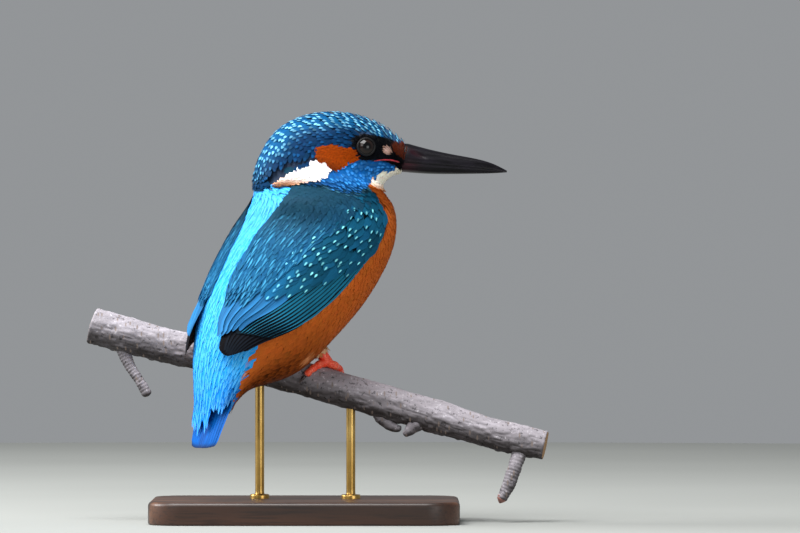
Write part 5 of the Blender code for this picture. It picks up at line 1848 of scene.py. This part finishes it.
crown_finish = feather_finish(
    "barred crown feathers", (0, 0.7), (0.7, 0.62), 0.4, (0.22, 1.4), 0.18, rough=0.55
)
face_finish = feather_finish(
    "face feathers", (0, 0.2), (0.5, 0.5), 0.6, (0.16, 1.2), 0.14, rough=0.65
)
LID_CLEAR = 3.35  # from the eye's middle, where no vane lies
ROOTS_SUNK, SPINE_STRETCH = 0.4, 1.1  # below the form, and its length to the spine's
ROUND = ((0.0, 0.4, 0.65, 0.83, 0.94, 1.0), 5)
FACE = ("throat", "ear", "white", "black", "rufous", "spot")
for name, names, step, longest, at_nape, half, kind, finish, seed in (
    ("crown", ("crown", "malar"), (1.6, 1.5), 4.1, (1.3, 1.15), 1.1, ROUND, crown_finish, 500),
    ("face", FACE, (0.64, 0.6), 2.3, (0.85, 0.9), 0.5, SMALL, face_finish, 540),
):
    roots = staggered(92.0, 141.2, *step, seed)
    shares = (*at_nape, 1.0, 0.8, 0.55, 0.42)
    length = longest * np.interp(roots[:, 0], (92, 104, 116, 128, 136, 141), shares)
    length = length * np.where(from_eye(*roots.T) < 7, 0.7, 1.0)
    reach = length / SPINE_STRETCH
    ahead = roots[:, 0] - 0.95 * reach
    keep = np.isin(region(ahead, roots[:, 1]), [REGIONS[n] for n in names])
    for share in (0.0, 0.5, 1.0):
        keep &= from_eye(roots[:, 0] - share * reach, roots[:, 1]) > LID_CLEAR
    middle = region(roots[:, 0] - 0.4 * reach, roots[:, 1])
    toothed = (middle != REGIONS["white"]) & (roots[:, 0] <= 105)
    keep &= (region(ahead, roots[:, 1]) != REGIONS["white"]) | ~toothed
    if name == "crown":
        for turn in (-5.0, 5.0):
            beside = region(ahead - 0.4, roots[:, 1] + turn)
            keep &= (beside != REGIONS["white"]) & (beside != REGIONS["black"])
    roots, length = roots[keep], length[keep]
    width = half * np.interp(roots[:, 0], (92, 110, 128, 141), (1.1, 1.0, 0.85, 0.65))
    tips = 0.03 + 0.42 * smooth(107, 99, roots[:, 0] - length) + 0.08 * (name == "face")
    group = body_coat(
        roots, kind, length, width, -ROOTS_SUNK, tips, head_mark, seed, ragged=0.03, blunt=0.6,
        round_tip=0.5, cup=0.05, dark_base_and_shade=0.1, ruffle=0.015, yaw=3.5, light=0.06,
    )
    put_coat(f"{name}_feathers", [group], finish)


# ---------------------------------------------------------------- studio
# A round pale floor, a wide soft light overhead, weaker ones from the front and the right,
# a small one from the left, and the camera level with the bird's flank.
FLOOR_PALE, FLOOR_MOTTLE, FLOOR_RADIUS = "#8f918e", "#959794", 1000.0
SKY, SKY_STRENGTH = "#eef2f6", 0.34
LENS_DISTANCE, LENS_HEIGHT, LENS_X, FRAME_WIDTH = 2200.0, 89.35, 33.25, 280.0
SENSOR = 36.0

# Matt paper: a roll of pale card, dead flat, with faint wide clouds.
paper, tree, paper_shader = start_material("matt paper", Roughness=1.0, Specular_IOR_Level=0.0)
place = add(tree, "TexCoord").outputs["Object"]
mottle = add(tree, "TexNoise", {"Vector": place, "Scale": per_mm(300.0)})
stops = ((0.3, FLOOR_PALE), (0.7, FLOOR_MOTTLE))
paper_colour = add(tree, "ValToRGB", {"Fac": mottle}, stops)
wire(paper_shader, Base_Color=paper_colour)
turn = full_turn(96)
rim = FLOOR_RADIUS * np.stack([np.cos(turn), np.sin(turn), 0 * turn], -1)
mesh = bpy.data.meshes.new("floor")
mesh.from_pydata((rim * MM).tolist(), [], [list(range(96))])
mesh.materials.append(paper)
floor = bpy.data.objects.new("floor", mesh)
bpy.context.scene.collection.objects.link(floor)


def soft_light(name, place, aim, size, watts):
    """A square panel of white light at a place in millimetres, turned towards its aim."""
    light = bpy.data.lights.new(name, "AREA")
    light.shape = "SQUARE"
    light.size = size * MM
    light.energy = watts
    lamp = bpy.data.objects.new(name, light)
    bpy.context.scene.collection.objects.link(lamp)
    lamp.location = np.array(place) * MM
    x, y, z = unit(np.array(aim, float) - place)
    lamp.rotation_euler = (np.arctan2(np.hypot(x, y), -z), 0.0, np.arctan2(y, x) - np.pi / 2)


soft_light("key_overhead", (-250, -350, 1100), (0, 0, 90), 800, 25)
soft_light("fill_front", (-900, -1300, 900), (0, 0, 90), 800, 7)
soft_light("rim_left", (-900, 100, 500), (0, 0, 100), 500, 13)
soft_light("fill_right", (900, -1300, 250), (0, 0, 90), 700, 5)
world = bpy.data.worlds.new("soft studio")
world.use_nodes = True
background = world.node_tree.nodes["Background"]
background.inputs["Color"].default_value = (*linear(SKY), 1)
background.inputs["Strength"].default_value = SKY_STRENGTH
bpy.context.scene.world = world
bpy.context.scene.view_settings.view_transform = "Standard"

lens = bpy.data.cameras.new("camera")
lens.sensor_width = SENSOR
lens.lens = lens.sensor_width * LENS_DISTANCE / FRAME_WIDTH
lens.clip_start = 0.1
camera = bpy.data.objects.new("camera", lens)
camera.location = (LENS_X * MM, -LENS_DISTANCE * MM, LENS_HEIGHT * MM)
camera.rotation_euler = (np.pi / 2, 0, 0)
bpy.context.scene.collection.objects.link(camera)
bpy.context.scene.camera = camera
